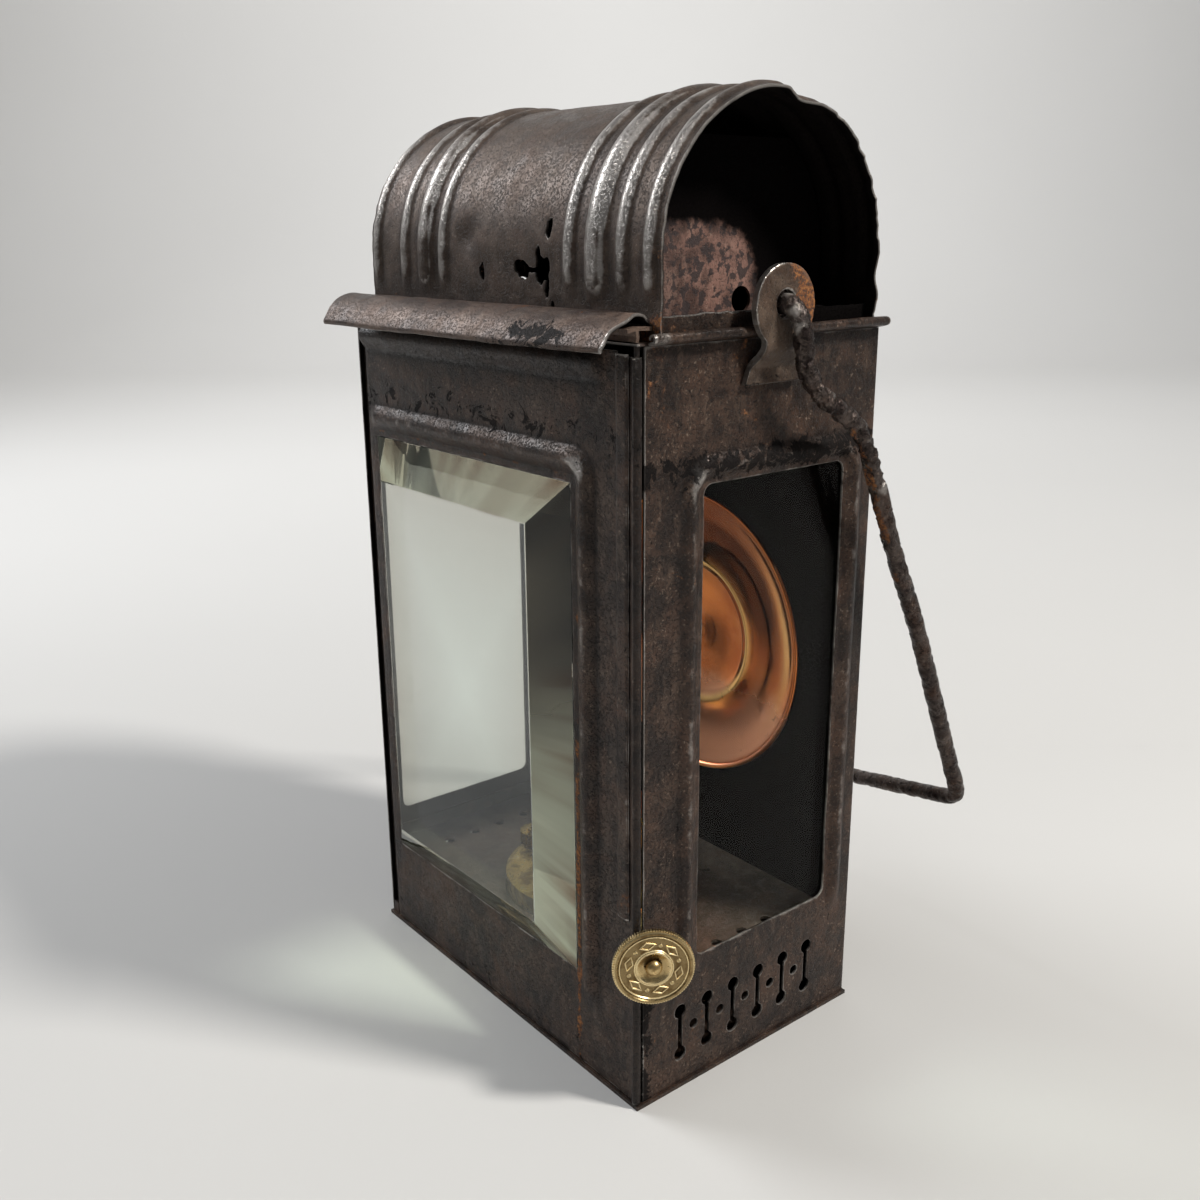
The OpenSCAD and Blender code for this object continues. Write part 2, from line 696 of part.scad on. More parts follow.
module bail() {
    color(iron_worn) translate([0, 0, pivot_z]) {
        wire(smooth(bail_route, 3), bail_r, 10, [0, -bail_low[1], bail_low[0]]);
        for (side = [0, 1]) mirror([side, 0, 0]) {
            translate([ear_in - bail_head_t - fit_gap - seam, 0, 0]) rotate([0, 90, 0])
                cylinder(d = bail_head_d, h = bail_head_t);
            translate([ear_in - bail_head_t, 0, 0]) rotate([0, 90, 0])
                cylinder(r = bail_r, h = ear_t + bail_head_t + 0.6);
        }
    }
}

module reflector() {
    h = refl_hub_r;
    d = refl_depth;
    color(copper) translate([0, in_y, refl_z]) rotate([90, 0, 0]) difference() {
        union() {
            rotate_extrude($fn = 96) polygon(strip([[0.01, refl_t / 2], [h - 3, refl_t / 2], [h - 1.2, 1.3],
                [h, 1.6], [h + 1.2, 1.2], [h + 4, 1.3], [h + 9, 1.9], [h + 14, 2.7], [refl_r - 2.4, d - 0.6],
                [refl_r - 0.6, d - 0.2]], refl_t));
            translate([0, 0, d]) rotate_extrude($fn = 96) translate([refl_r - 0.7, 0]) circle(0.7);
        }
        translate([0, 0, -cut]) cylinder(d = refl_rivet_d, h = body_d);
    }
}

module reflector_rivet() {
    head_r = refl_rivet_d * 1.1;
    head_t = 1;
    color(copper) translate([0, in_y, refl_z]) rotate([90, 0, 0]) {
        translate([0, 0, -sheet - head_t]) cylinder(r = head_r, h = head_t);
        translate([0, 0, -sheet - head_t]) cylinder(d = refl_rivet_d, h = sheet + refl_t + 2 * head_t);
        translate([0, 0, refl_t]) cylinder(r = head_r, h = head_t);
    }
}

module side_glass() {
    color(clear, 0.4) slab([pane_x, wy0 - pane_lap, wz0 - pane_lap], [in_x, wy1 + pane_lap, wz1 + pane_lap]);
}

module side_glass_right() {
    side_glass();
}

module side_glass_left() {
    rotate([0, 0, 180]) side_glass();
}

// Angle rails at the pane's two upright edges and under it
module glass_rails() {
    y0 = wy0 - pane_lap;
    y1 = wy1 + pane_lap;
    z0 = wz0 - pane_lap;
    back = pane_x - seam - rail_t;
    color(iron) {
        for (s = [0, 1]) translate([0, s * (y0 + y1), 0]) mirror([0, s, 0]) {
            slab([back, y0 - rail_t, z0], [in_x, y0, wz1 + pane_lap]);
            slab([back, y0 - rail_t, z0], [back + rail_t, y0 + rail_lap, wz1 + pane_lap]);
        }
        slab([back, y0 + rail_lap + seam, z0 - rail_t], [in_x, y1 - rail_lap - seam, z0]);
        slab([back, y0 + rail_lap + seam, z0 - rail_t], [back + rail_t, y1 - rail_lap - seam, z0 + rail_lap]);
    }
}

module glass_rails_right() {
    glass_rails();
}

module glass_rails_left() {
    rotate([0, 0, 180]) glass_rails();
}

// Everything drawn flat with the door's outside at height 0 and the chamber below it
module on_door() {
    translate([0, -hy, 0]) rotate([90, 0, 0]) children();
}

module door_panel() {
    off = door_bead_off;
    color(iron) {
        difference() {
            union() {
                on_door() {
                    slab([door_x0, door_z0, -sheet], [pin_x, door_z1, 0]);
                    frame_run(gx0, gx1 + off, gz0, gz1 + off - fit_gap, door_bead_turn, false)
                        bead_section(door_bead_w, door_bead_h, 0, -sheet / 2);
                }
                translate([pin_x, pin_y, door_z0]) cylinder(r = roll_r, h = roll_z1 - door_z0);
            }
            on_door() {
                frame_run(gx0, gx1 + off, gz0, gz1 + off - fit_gap, door_bead_turn, false)
                    bead_section(door_bead_w, door_bead_h, sheet, -sheet - cut);
                slab([gx0 - seam, gz0 - seam, -sheet - cut], [gx1 + seam, gz1 + seam, door_bead_h + cut]);
            }
            translate([pin_x, pin_y, 0]) cylinder(r = pin_d / 2 + pin_clear, h = body_h);
        }
    }
}

module door_stile() {
    color(iron_worn) on_door()
        slab([pin_x - stile_in - stile_w / 2, stile_z, 0], [pin_x - stile_in + stile_w / 2, door_z1, sheet]);
}

// Bevelled glass: a slab behind the door sheet and a raised block with four sloped sides
module door_glass() {
    proud = glass_proud;
    slope = atan2(proud, bevel_w);
    color(clear, 0.4) on_door() {
        slab([gx0 - slab_lap, gz0 - slab_lap, -sheet - slab_t], [gx1 + slab_lap, gz1 + slab_lap, -sheet]);
        difference() {
            slab([gx0, gz0, -sheet - slab_t / 2], [gx1, gz1, proud]);
            translate([gx0, gz0 - cut, 0]) rotate([0, -slope, 0])
                translate([-body_w, 0, 0]) slab([0, 0, 0], [2 * body_w, glass_h + 2 * cut, body_w]);
            translate([gx1, gz0 - cut, 0]) mirror([1, 0, 0]) rotate([0, -slope, 0])
                translate([-body_w, 0, 0]) slab([0, 0, 0], [2 * body_w, glass_h + 2 * cut, body_w]);
            translate([gx0 - cut, gz0, 0]) rotate([slope, 0, 0])
                translate([0, -body_h, 0]) slab([0, 0, 0], [glass_w + 2 * cut, 2 * body_h, body_w]);
            translate([gx0 - cut, gz1, 0]) mirror([0, 1, 0]) rotate([slope, 0, 0])
                translate([0, -body_h, 0]) slab([0, 0, 0], [glass_w + 2 * cut, 2 * body_h, body_w]);
        }
    }
}

module door_rails() {
    x0 = gx0 - slab_lap;
    x1 = gx1 + slab_lap;
    z0 = gz0 - slab_lap;
    z1 = gz1 + slab_lap;
    deep = -sheet - slab_t;
    lap = slab_lap + rail_t;
    color(iron) on_door() {
        for (s = [0, 1]) translate([s * (x0 + x1), 0, 0]) mirror([s, 0, 0]) {
            slab([x0 - rail_t, z0, deep - rail_t], [x0, z1, -sheet]);
            slab([x0 - rail_t, z0, deep - rail_t], [x0 + lap, z1, deep]);
        }
        slab([x0 + lap + seam, z0 - rail_t, deep - rail_t], [x1 - lap - seam, z0, -sheet]);
        slab([x0 + lap + seam, z0 - rail_t, deep - rail_t], [x1 - lap - seam, z0 + lap, deep]);
    }
}

module hinge_pin() {
    color(iron_worn) translate([pin_x, pin_y, base_t - pin_seat])
        cylinder(d = pin_d, h = deck_top - base_t + pin_seat);
}

// The burner's own frame: turned so that its spindle runs along +X
module lamp() {
    rotate([0, 0, -spindle_angle]) children();
}

module on_spindle() {
    lamp() translate([0, spindle_off, spindle_z]) rotate([0, 90, 0]) children();
}

module font_body() {
    w = font_wall;
    color(brass) rotate_extrude() polygon([[0, base_t], [font_r, base_t], [font_r, font_side_top],
        [font_r - w, font_side_top], [font_r - w, base_t + w], [0, base_t + w]]);
}

module font_top() {
    w = font_wall;
    z = font_side_top;
    shoulder = collar_r + collar_wall;
    color(brass) difference() {
        rotate_extrude() polygon([[collar_r, font_top_z - w], [shoulder, font_top_z - w],
            [font_r - 8, z + font_rise * 0.7 - w], [font_r - 2, z + w], [font_r - 2, z], [font_r, z],
            [font_r, z + w], [font_r - 1.4, z + 2 * w], [font_r - 8, z + font_rise * 0.7],
            [shoulder, font_top_z], [collar_r, font_top_z]]);
        at_filler() cylinder(r = filler_r, h = body_h);
    }
}

module at_filler() {
    rotate([0, 0, 200]) translate([font_r - filler_in, 0, 0]) children();
}

module filler_neck() {
    w = font_wall;
    color(brass) at_filler() difference() {
        translate([0, 0, font_side_top]) cylinder(r = filler_r - seam / 2, h = filler_h);
        cylinder(r = filler_r - w - seam, h = body_h);
    }
}

module cap_washer() {
    color("#6d4a32") at_filler() translate([0, 0, font_side_top + filler_h + seam]) difference() {
        cylinder(r = filler_r - seam, h = washer_t);
        translate([0, 0, -cut]) cylinder(r = filler_r / 2, h = washer_t + 2 * cut);
    }
}

module filler_cap() {
    wall = 1;
    top_t = 0.8;
    grooves = 12;
    under = font_side_top + filler_h + washer_t + 2 * seam;
    color(brass) at_filler() difference() {
        union() {
            translate([0, 0, under - cap_h + top_t]) cylinder(r = filler_r + wall, h = cap_h);
            translate([0, 0, under + top_t]) cylinder(r = filler_r - wall, h = top_t);
        }
        translate([0, 0, under - cap_h]) cylinder(r = filler_r + seam, h = cap_h);
        for (i = [0:grooves - 1]) rotate([0, 0, i * 360 / grooves]) translate([filler_r + 1.3 * wall, 0, 0])
            cylinder(r = 0.6 * wall, h = body_h);
    }
}

module font_clips() {
    r = font_r + seam;
    color(iron_worn) for (a = [60, 180, 300]) rotate([0, 0, a]) {
        slab([r, -clip_w / 2, floor_z], [r + clip_t, clip_w / 2, floor_z + clip_h]);
        slab([r, -clip_w / 2, floor_z], [font_r + clip_foot, clip_w / 2, floor_z + clip_t]);
    }
}

module burner_collar() {
    color(brass) translate([0, 0, font_top_z]) difference() {
        cylinder(r = collar_r + collar_wall, h = collar_rise);
        translate([0, 0, -cut]) cylinder(r = collar_r, h = body_h);
    }
}

module tube_hole() {
    slab([-tube_out_w / 2 - seam / 2, -tube_out_t / 2 - seam / 2, 0],
        [tube_out_w / 2 + seam / 2, tube_out_t / 2 + seam / 2, body_h]);
}

module burner_base() {
    plate_r = cone_r + 0.6;
    rim_wall = 0.6;
    plug_under = 0.4;
    hole_d = 1.2;
    color(brass) lamp() difference() {
        union() {
            translate([0, 0, collar_top]) cylinder(r = plate_r, h = base_plate_t);
            translate([0, 0, font_top_z - plug_under])
                cylinder(r = collar_r - seam, h = collar_rise + plug_under + base_plate_t / 4);
            translate([0, 0, collar_top]) difference() {
                cylinder(r = plate_r + rim_wall, h = 2 * base_plate_t);
                translate([0, 0, -cut]) cylinder(r = plate_r, h = 2 * base_plate_t + 2 * cut);
            }
        }
        tube_hole();
        for (a = [0:20:340]) rotate([0, 0, a]) translate([gallery_r + 1.5 * hole_d, 0, collar_top - cut])
            cylinder(d = hole_d, h = cut + 0.9 * base_plate_t);
    }
}

module burner_gallery() {
    w = 0.5;
    color(brass) lamp() difference() {
        translate([0, 0, gallery_z]) cylinder(r = gallery_r, h = gallery_h);
        translate([0, 0, gallery_z - cut]) cylinder(r = gallery_r - w, h = gallery_h + 2 * cut);
        translate([gallery_r / 2, spindle_off, spindle_z]) rotate([0, 90, 0])
            cylinder(r = spindle_r + fit_gap, h = body_w);
        for (a = [60:24:300]) rotate([0, 0, a])
            translate([gallery_r - 2, 0, gallery_z + gallery_h * 0.6])
                rotate([0, 90, 0]) cylinder(d = 2, h = 4);
    }
}

module burner_cone() {
    w = 0.5;
    slot_w = wick_w + 2.4;
    slot_t = wick_t + 1.8;
    color(copper) lamp() difference() {
        translate([0, 0, cone_z]) rotate_extrude() polygon([[gallery_r - 1.4, 0], [cone_r, 0], [cone_r, w * 2],
            [cone_r - 1.2, cone_h * 0.35], [cone_r - 4, cone_h * 0.7], [cone_r - 7, cone_h * 0.92], [0, cone_h],
            [0, cone_h - w], [cone_r - 7.1, cone_h * 0.92 - w], [cone_r - 4.4, cone_h * 0.7 - w],
            [cone_r - 1.8, cone_h * 0.35 - w], [cone_r - 1, w], [gallery_r - 1.4, w]]);
        slab([-slot_w / 2, -slot_t / 2, cone_z + 1], [slot_w / 2, slot_t / 2, body_h]);
    }
}

module wick_tube() {
    color(brass) lamp() difference() {
        slab([-tube_out_w / 2, -tube_out_t / 2, base_t + 0.64 * font_h],
            [tube_out_w / 2, tube_out_t / 2, tube_top]);
        slab([-tube_in_w / 2, -tube_in_t / 2, 0], [tube_in_w / 2, tube_in_t / 2, body_h]);
        for (s = [-1, 1]) translate([s * wheel_gap - wheel_w / 2 - seam * 2, 0, spindle_z - wheel_r - seam])
            cube([wheel_w + seam * 4, tube_out_t, 2 * wheel_r + 2 * seam]);
    }
}

module wick() {
    color("#d8cdb4") lamp()
        slab([-wick_w / 2, -wick_t / 2, base_t + 6], [wick_w / 2, wick_t / 2, tube_top + wick_out]);
}

module wick_wheels() {
    teeth = 10;
    tooth = 0.7;
    color(brass) on_spindle() for (s = [-1, 1]) translate([0, 0, s * wheel_gap - wheel_w / 2]) difference() {
        cylinder(r = wheel_r, h = wheel_w);
        translate([0, 0, -cut]) cylinder(r = spindle_r, h = wheel_w + 2 * cut);
        for (i = [0:teeth - 1]) rotate([0, 0, i * 360 / teeth]) translate([wheel_r + 0.1, 0, -cut])
            cylinder(r = tooth, h = wheel_w + 2 * cut);
    }
}

module wick_spindle() {
    color(brass) on_spindle() translate([0, 0, -wheel_gap - wheel_w])
        cylinder(r = spindle_r, h = knob_reach - 1 + wheel_gap + wheel_w);
}

// Knob disc, drawn with its front at height 0
module wick_knob() {
    r = knob_d / 2;
    t = knob_t;
    color(brass) on_spindle() translate([0, 0, knob_reach]) difference() {
        union() {
            rotate_extrude($fn = 96) polygon([[0, -t], [r - 0.6, -t], [r, -t + 0.6], [r, -0.7], [r - 0.4, -0.2],
                [r - 1.1, 0], [r - 1.6, -0.4], [knob_hollow_r + 0.5, -0.4], [knob_hollow_r, 0],
                [knob_hollow_r - 0.5, -0.3], [knob_hollow_r - 1, -1], [0, -1.2]]);
            for (i = [0:5]) rotate([0, 0, i * 60]) translate([knob_ring_r, 0, -0.7])
                rotate([0, 0, 45]) translate([-0.8, -0.8, 0]) cube([1.6, 1.6, 0.6]);
            for (i = [0:5]) rotate([0, 0, 30 + i * 60]) translate([knob_ring_r + 0.5, 0, -0.7])
                cylinder(r = 0.5, h = 0.6);
            translate([0, 0, -t - knob_hub]) cylinder(r = spindle_r + 1.4, h = knob_hub + seam);
        }
        translate([0, 0, -t - 2 * knob_hub]) cylinder(r = spindle_r, h = t + 2 * knob_hub + cut);
    }
}

module knob_boss() {
    color(brass) on_spindle() translate([0, 0, knob_reach - 1]) {
        cylinder(r = spindle_r - seam, h = 0.4);
        intersection() {
            translate([0, 0, -0.5]) sphere(r = 2.1);
            translate([-3, -3, 0.2]) cube([6, 6, 3]);
        }
    }
}

// Bearing sleeve for the spindle, soldered inside the right end wall
module spindle_bush() {
    color(brass) intersection() {
        on_spindle() translate([0, 0, wall_reach - bush_l]) difference() {
            cylinder(r = bush_r + bush_wall, h = 2 * bush_l);
            translate([0, 0, -cut]) cylinder(r = bush_r, h = 3 * bush_l);
        }
        slab([0, -2 * body_d, 0], [in_x, body_d, body_h]);
    }
}

base_tray();
end_wall_right();
end_wall_left();
rear_wall();
chamber_floor();
door_stop();
deck_plate();
rim_wires();
drip_hood();
hood_bracket();
roof_barrel();
baffle_right();
baffle_left();
ear_right();
ear_left();
bail();
reflector();
reflector_rivet();
side_glass_right();
side_glass_left();
glass_rails_right();
glass_rails_left();
door_panel();
door_stile();
door_glass();
door_rails();
hinge_pin();
font_body();
font_top();
font_clips();
filler_neck();
cap_washer();
filler_cap();
burner_collar();
burner_base();
burner_gallery();
burner_cone();
wick_tube();
wick();
wick_wheels();
wick_spindle();
wick_knob();
knob_boss();
spindle_bush();
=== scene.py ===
import math

import bpy
import numpy as np
from mathutils import Matrix, Vector


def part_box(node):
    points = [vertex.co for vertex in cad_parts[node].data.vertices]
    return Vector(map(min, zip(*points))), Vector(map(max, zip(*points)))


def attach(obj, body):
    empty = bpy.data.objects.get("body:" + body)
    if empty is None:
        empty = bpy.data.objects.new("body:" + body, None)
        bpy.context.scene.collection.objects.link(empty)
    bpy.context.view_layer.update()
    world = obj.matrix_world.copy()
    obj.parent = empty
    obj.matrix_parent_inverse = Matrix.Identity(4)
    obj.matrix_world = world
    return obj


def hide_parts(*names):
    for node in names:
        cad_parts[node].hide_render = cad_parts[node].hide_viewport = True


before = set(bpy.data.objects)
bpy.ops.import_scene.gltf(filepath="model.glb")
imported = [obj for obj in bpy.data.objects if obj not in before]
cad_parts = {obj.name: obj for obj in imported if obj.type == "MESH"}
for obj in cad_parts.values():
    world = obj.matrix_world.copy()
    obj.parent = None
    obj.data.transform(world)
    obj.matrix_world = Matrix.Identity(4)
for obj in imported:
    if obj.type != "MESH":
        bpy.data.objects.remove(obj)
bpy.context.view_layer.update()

mm = 0.001
print("frame loaded")


# Camera, at the photograph's viewing angle; lengths in mm, angles in degrees
cameraSettings = dict(azimuth=51.17, elevation=16.78, roll=-0.45, side=0.73, rise=-16.46,
                      distance=336.53, aimHeight=90, lens=37.0875, sensor=36)


def makeCamera(s):
    az, el, roll = (math.radians(s[k]) for k in ("azimuth", "elevation", "roll"))
    ahead = Vector((-math.sin(az) * math.cos(el), math.cos(az) * math.cos(el), -math.sin(el)))
    right = Vector((math.cos(az), math.sin(az), 0))
    up = right.cross(ahead)
    right, up = right * math.cos(roll) + up * math.sin(roll), up * math.cos(roll) - right * math.sin(roll)
    spot = Vector((0, 0, s["aimHeight"])) - ahead * s["distance"] - right * s["side"] - up * s["rise"]
    data = bpy.data.cameras.new("camera")
    data.sensor_width = s["sensor"]
    data.lens = s["lens"]
    data.clip_start, data.clip_end = 0.01, 20
    camera = bpy.data.objects.new("camera", data)
    bpy.context.scene.collection.objects.link(camera)
    camera.matrix_world = Matrix.Translation(spot * mm) @ Matrix((right, up, -ahead)).transposed().to_4x4()
    bpy.context.scene.camera = camera


makeCamera(cameraSettings)


# Small helpers for numbers

def boxOf(node):
    low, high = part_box(node)
    return np.array(low) / mm, np.array(high) / mm


def ease(x, low, high):
    t = np.clip((x - low) / (high - low), 0, 1)
    return t * t * (3 - 2 * t)


def lattice(p, seed):
    # smooth noise on a lattice of whole numbers, from -1 to 1, the same on every run
    cell = np.floor(p).astype(np.int64)
    f = p - cell
    f = f * f * (3 - 2 * f)
    total = np.zeros(len(p))
    for corner in range(8):
        step = np.array([corner & 1, corner >> 1 & 1, corner >> 2 & 1])
        key = (cell + step) * np.array([73856093, 19349663, 83492791])
        h = key[:, 0] ^ key[:, 1] ^ key[:, 2] ^ (seed * 2654435761)
        h = (h ^ (h >> 13)) * 1274126177
        value = ((h ^ (h >> 16)) & 65535) / 32767.5 - 1
        total += value * np.prod(np.where(step, f, 1 - f), axis=1)
    return total


def rough(p, size, seed, layers=3):
    p = np.asarray(p, float) / size
    return sum(lattice(p * 2 ** k + 17.3 * k, seed + k) * 0.5 ** k for k in range(layers))


def points(x, y, z=0.0):
    return np.stack(np.broadcast_arrays(np.asarray(x, float), y, z), axis=-1).reshape(-1, 3)


def curveThrough(knots, spacing):
    # Catmull-Rom curve through the knots, then even steps along it
    k = np.array(knots, float)
    k = np.vstack([2 * k[0] - k[1], k, 2 * k[-1] - k[-2]])
    t = np.linspace(0, 1, 13)[:-1, None]
    runs = [0.5 * (2 * b + (c - a) * t + (2 * a - 5 * b + 4 * c - d) * t ** 2 + (3 * b - a - 3 * c + d) * t ** 3)
            for a, b, c, d in zip(k, k[1:], k[2:], k[3:])]
    line = np.vstack(runs + [k[-2:-1]])
    along = np.concatenate([[0], np.cumsum(np.linalg.norm(np.diff(line, axis=0), axis=1))])
    at = np.linspace(0, along[-1], max(3, int(along[-1] / spacing)))
    return np.stack([np.interp(at, along, line[:, i]) for i in range(line.shape[1])], axis=1), at


def spread(*stops):
    # grid lines from stop to stop: (from, step), ..., last
    lines = []
    for (a, step), b in zip(stops, [s[0] if isinstance(s, tuple) else s for s in stops[1:]]):
        lines.append(np.linspace(a, b, max(1, round((b - a) / step)), endpoint=False))
    return np.concatenate(lines + [[stops[-1]]])


# Mesh builders: each returns points in mm, faces and marks for the material

def sheetGrid(us, vs, place, thick, metal=None, closed=False, soften=0.75):
    # a sheet of even thickness over a grid, open where metal(u, v) is negative, its holes' edges snapped smooth
    nu, nv = len(us), len(vs)
    u, v = (a.ravel().copy() for a in np.meshgrid(us, vs, indexing="ij"))
    gap = np.ones(nu * nv)
    if metal is not None:
        e = 0.02
        gap = metal(u, v)
        gu = (metal(u + e, v) - metal(u - e, v)) / (2 * e)
        gv = (metal(u, v + e) - metal(u, v - e)) / (2 * e)
        size = np.sqrt(gu ** 2 + gv ** 2) + 1e-9
        reach = 0.5 * (np.abs(gu) * np.repeat(np.gradient(us), nv) + np.abs(gv) * np.tile(np.gradient(vs), nu)) / size
        near = np.abs(gap / size) <= reach
        u[near] -= (gap * gu / size ** 2)[near]
        v[near] -= (gap * gv / size ** 2)[near]
        gap[near] = 0
    middle, marks = place(u, v)
    grid = middle.reshape(nu, nv, 3)
    if closed:
        ring = np.concatenate([grid[:, -1:], grid, grid[:, :1]], axis=1)
        dv = np.gradient(ring, axis=1)[:, 1:-1]
    else:
        dv = np.gradient(grid, axis=1)
    normal = np.cross(np.gradient(grid, axis=0), dv).reshape(-1, 3)
    normal /= np.linalg.norm(normal, axis=1)[:, None] + 1e-12
    i, j = np.meshgrid(np.arange(nu - 1), np.arange(nv if closed else nv - 1), indexing="ij")
    i, j = i.ravel(), j.ravel()
    k = (j + 1) % nv
    quads = np.stack([i * nv + j, (i + 1) * nv + j, (i + 1) * nv + k, i * nv + k], axis=1)
    outside = gap[quads] < 0
    solid = (gap[quads] > 0).any(axis=1)
    lost = outside.sum(axis=1)
    whole = quads[(lost == 0) & solid]
    part = quads[(lost == 1) & solid]
    which = outside[(lost == 1) & solid].argmax(axis=1)
    rows = np.arange(len(part))
    tris = np.stack([part[rows, (which + n) % 4] for n in (1, 2, 3)], axis=1)
    edges = np.concatenate([f[:, [a, (a + 1) % f.shape[1]]] for f in (whole, tris) for a in range(f.shape[1])])
    total = nu * nv
    rim = edges[~np.isin(edges[:, 0] * total + edges[:, 1], edges[:, 1] * total + edges[:, 0])]
    half = np.full(total, thick / 2)
    half[rim.ravel()] *= soften
    edge = np.zeros(total)
    edge[rim.ravel()] = 1
    under = np.asarray(marks.get("inside", np.ones(total)), float)
    marks = dict(marks, edge=edge, inside=np.zeros(total))
    both = np.concatenate([middle + normal * half[:, None], middle - normal * half[:, None]])
    faces = [whole, tris, whole[:, ::-1] + total, tris[:, ::-1] + total,
             np.stack([rim[:, 0], rim[:, 0] + total, rim[:, 1] + total, rim[:, 1]], axis=1)]
    marks = {n: np.tile(m, 2) for n, m in marks.items()}
    marks["inside"][total:] = under
    return tidyPart(both, faces, marks)


def tidyPart(verts, faces, marks):
    used = np.unique(np.concatenate([f.ravel() for f in faces if len(f)]))
    new = np.zeros(len(verts), int)
    new[used] = np.arange(len(used))
    return verts[used], [new[f] for f in faces if len(f)], {n: np.asarray(m)[used] for n, m in marks.items()}


def turned(profile, sides, frameOf=None):
    # a closed solid turned about an axis; the profile is (radius, height) from the axis round to the axis
    profile = np.array(profile, float)
    a = np.arange(sides) * 2 * math.pi / sides
    rings = [points(r * np.cos(a), r * np.sin(a), h) for r, h in profile[1:-1]]
    verts = np.vstack([[[0, 0, profile[0, 1]]], *rings, [[0, 0, profile[-1, 1]]]])
    n = len(rings)
    s = np.arange(sides)
    t = (s + 1) % sides
    quads = np.concatenate([np.stack([1 + k * sides + s, 1 + k * sides + t,
                                      1 + (k + 1) * sides + t, 1 + (k + 1) * sides + s], axis=1) for k in range(n - 1)])
    first = np.stack([np.zeros(sides, int), t + 1, s + 1], axis=1)
    last = np.stack([np.full(sides, n * sides + 1), 1 + (n - 1) * sides + s, 1 + (n - 1) * sides + t], axis=1)
    marks = dict(radius=np.linalg.norm(verts[:, :2], axis=1))
    if frameOf is not None:
        verts = frameOf(verts)
    return verts, [quads, first, last], marks


def swept(line, radii, sides, flat=None, cross=None):
    # a closed tube along a line; cross gives another section as (across, up) points of length one
    line = np.asarray(line, float)
    n = len(line)
    along = np.gradient(line, axis=0)
    along /= np.linalg.norm(along, axis=1)[:, None]
    up = np.tile(np.array(flat if flat is not None else (0, 0, 1.0)), (n, 1))
    across = np.cross(along, up)
    across /= np.linalg.norm(across, axis=1)[:, None]
    up = np.cross(across, along)
    a = np.arange(sides) * 2 * math.pi / sides
    section = np.stack([np.cos(a), np.sin(a)], axis=1) if cross is None else np.array(cross, float)
    sides = len(section)
    radii = np.broadcast_to(np.asarray(radii, float), (n,))[:, None, None]
    rings = line[:, None] + radii * (section[None, :, :1] * across[:, None] + section[None, :, 1:] * up[:, None])
    s = np.arange(sides)
    t = (s + 1) % sides
    quads = np.concatenate([np.stack([k * sides + s, (k + 1) * sides + s, (k + 1) * sides + t, k * sides + t], axis=1)
                            for k in range(n - 1)])
    verts = np.vstack([rings.reshape(-1, 3), line[:1], line[-1:]])
    ends = [np.stack([np.full(sides, n * sides), s, t], axis=1),
            np.stack([np.full(sides, n * sides + 1), (n - 1) * sides + t, (n - 1) * sides + s], axis=1)]
    return verts, [quads, *ends], {}


def makePiece(name, parts, finish, body, replaces=(), sharp=35):
    verts, faces, start = [], [], 0
    names = sorted({n for _, _, marks in parts for n in marks})
    values = {n: [] for n in names}
    for v, fs, marks in parts:
        verts.append(v)
        faces += [f + start for f in fs]
        start += len(v)
        for n in names:
            values[n].append(np.asarray(marks.get(n, np.zeros(len(v))), float))
    mesh = bpy.data.meshes.new(name)
    mesh.from_pydata((np.concatenate(verts) * mm).tolist(), [], [row for f in faces for row in f.tolist()])
    for n in names:
        mesh.attributes.new(n, "FLOAT", "POINT").data.foreach_set("value", np.concatenate(values[n]).astype(np.float32))
    mesh.polygons.foreach_set("use_smooth", [True] * len(mesh.polygons))
    mesh.set_sharp_from_angle(angle=math.radians(sharp))
    mesh.materials.append(finish)
    piece = bpy.data.objects.new(name, mesh)
    bpy.context.scene.collection.objects.link(piece)
    return settle(piece, body, replaces)


def settle(piece, body, replaces=()):
    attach(piece, body)
    if replaces:
        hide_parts(*replaces)
    return piece


# Material helpers: sockets go in and come out, lengths in mm

def paint(*rgb):
    # a colour as seen on screen, 0 to 255, made linear
    return tuple((c / 255 / 12.92 if c / 255 <= 0.04045 else ((c / 255 + 0.055) / 1.055) ** 2.4) for c in rgb) + (1,)


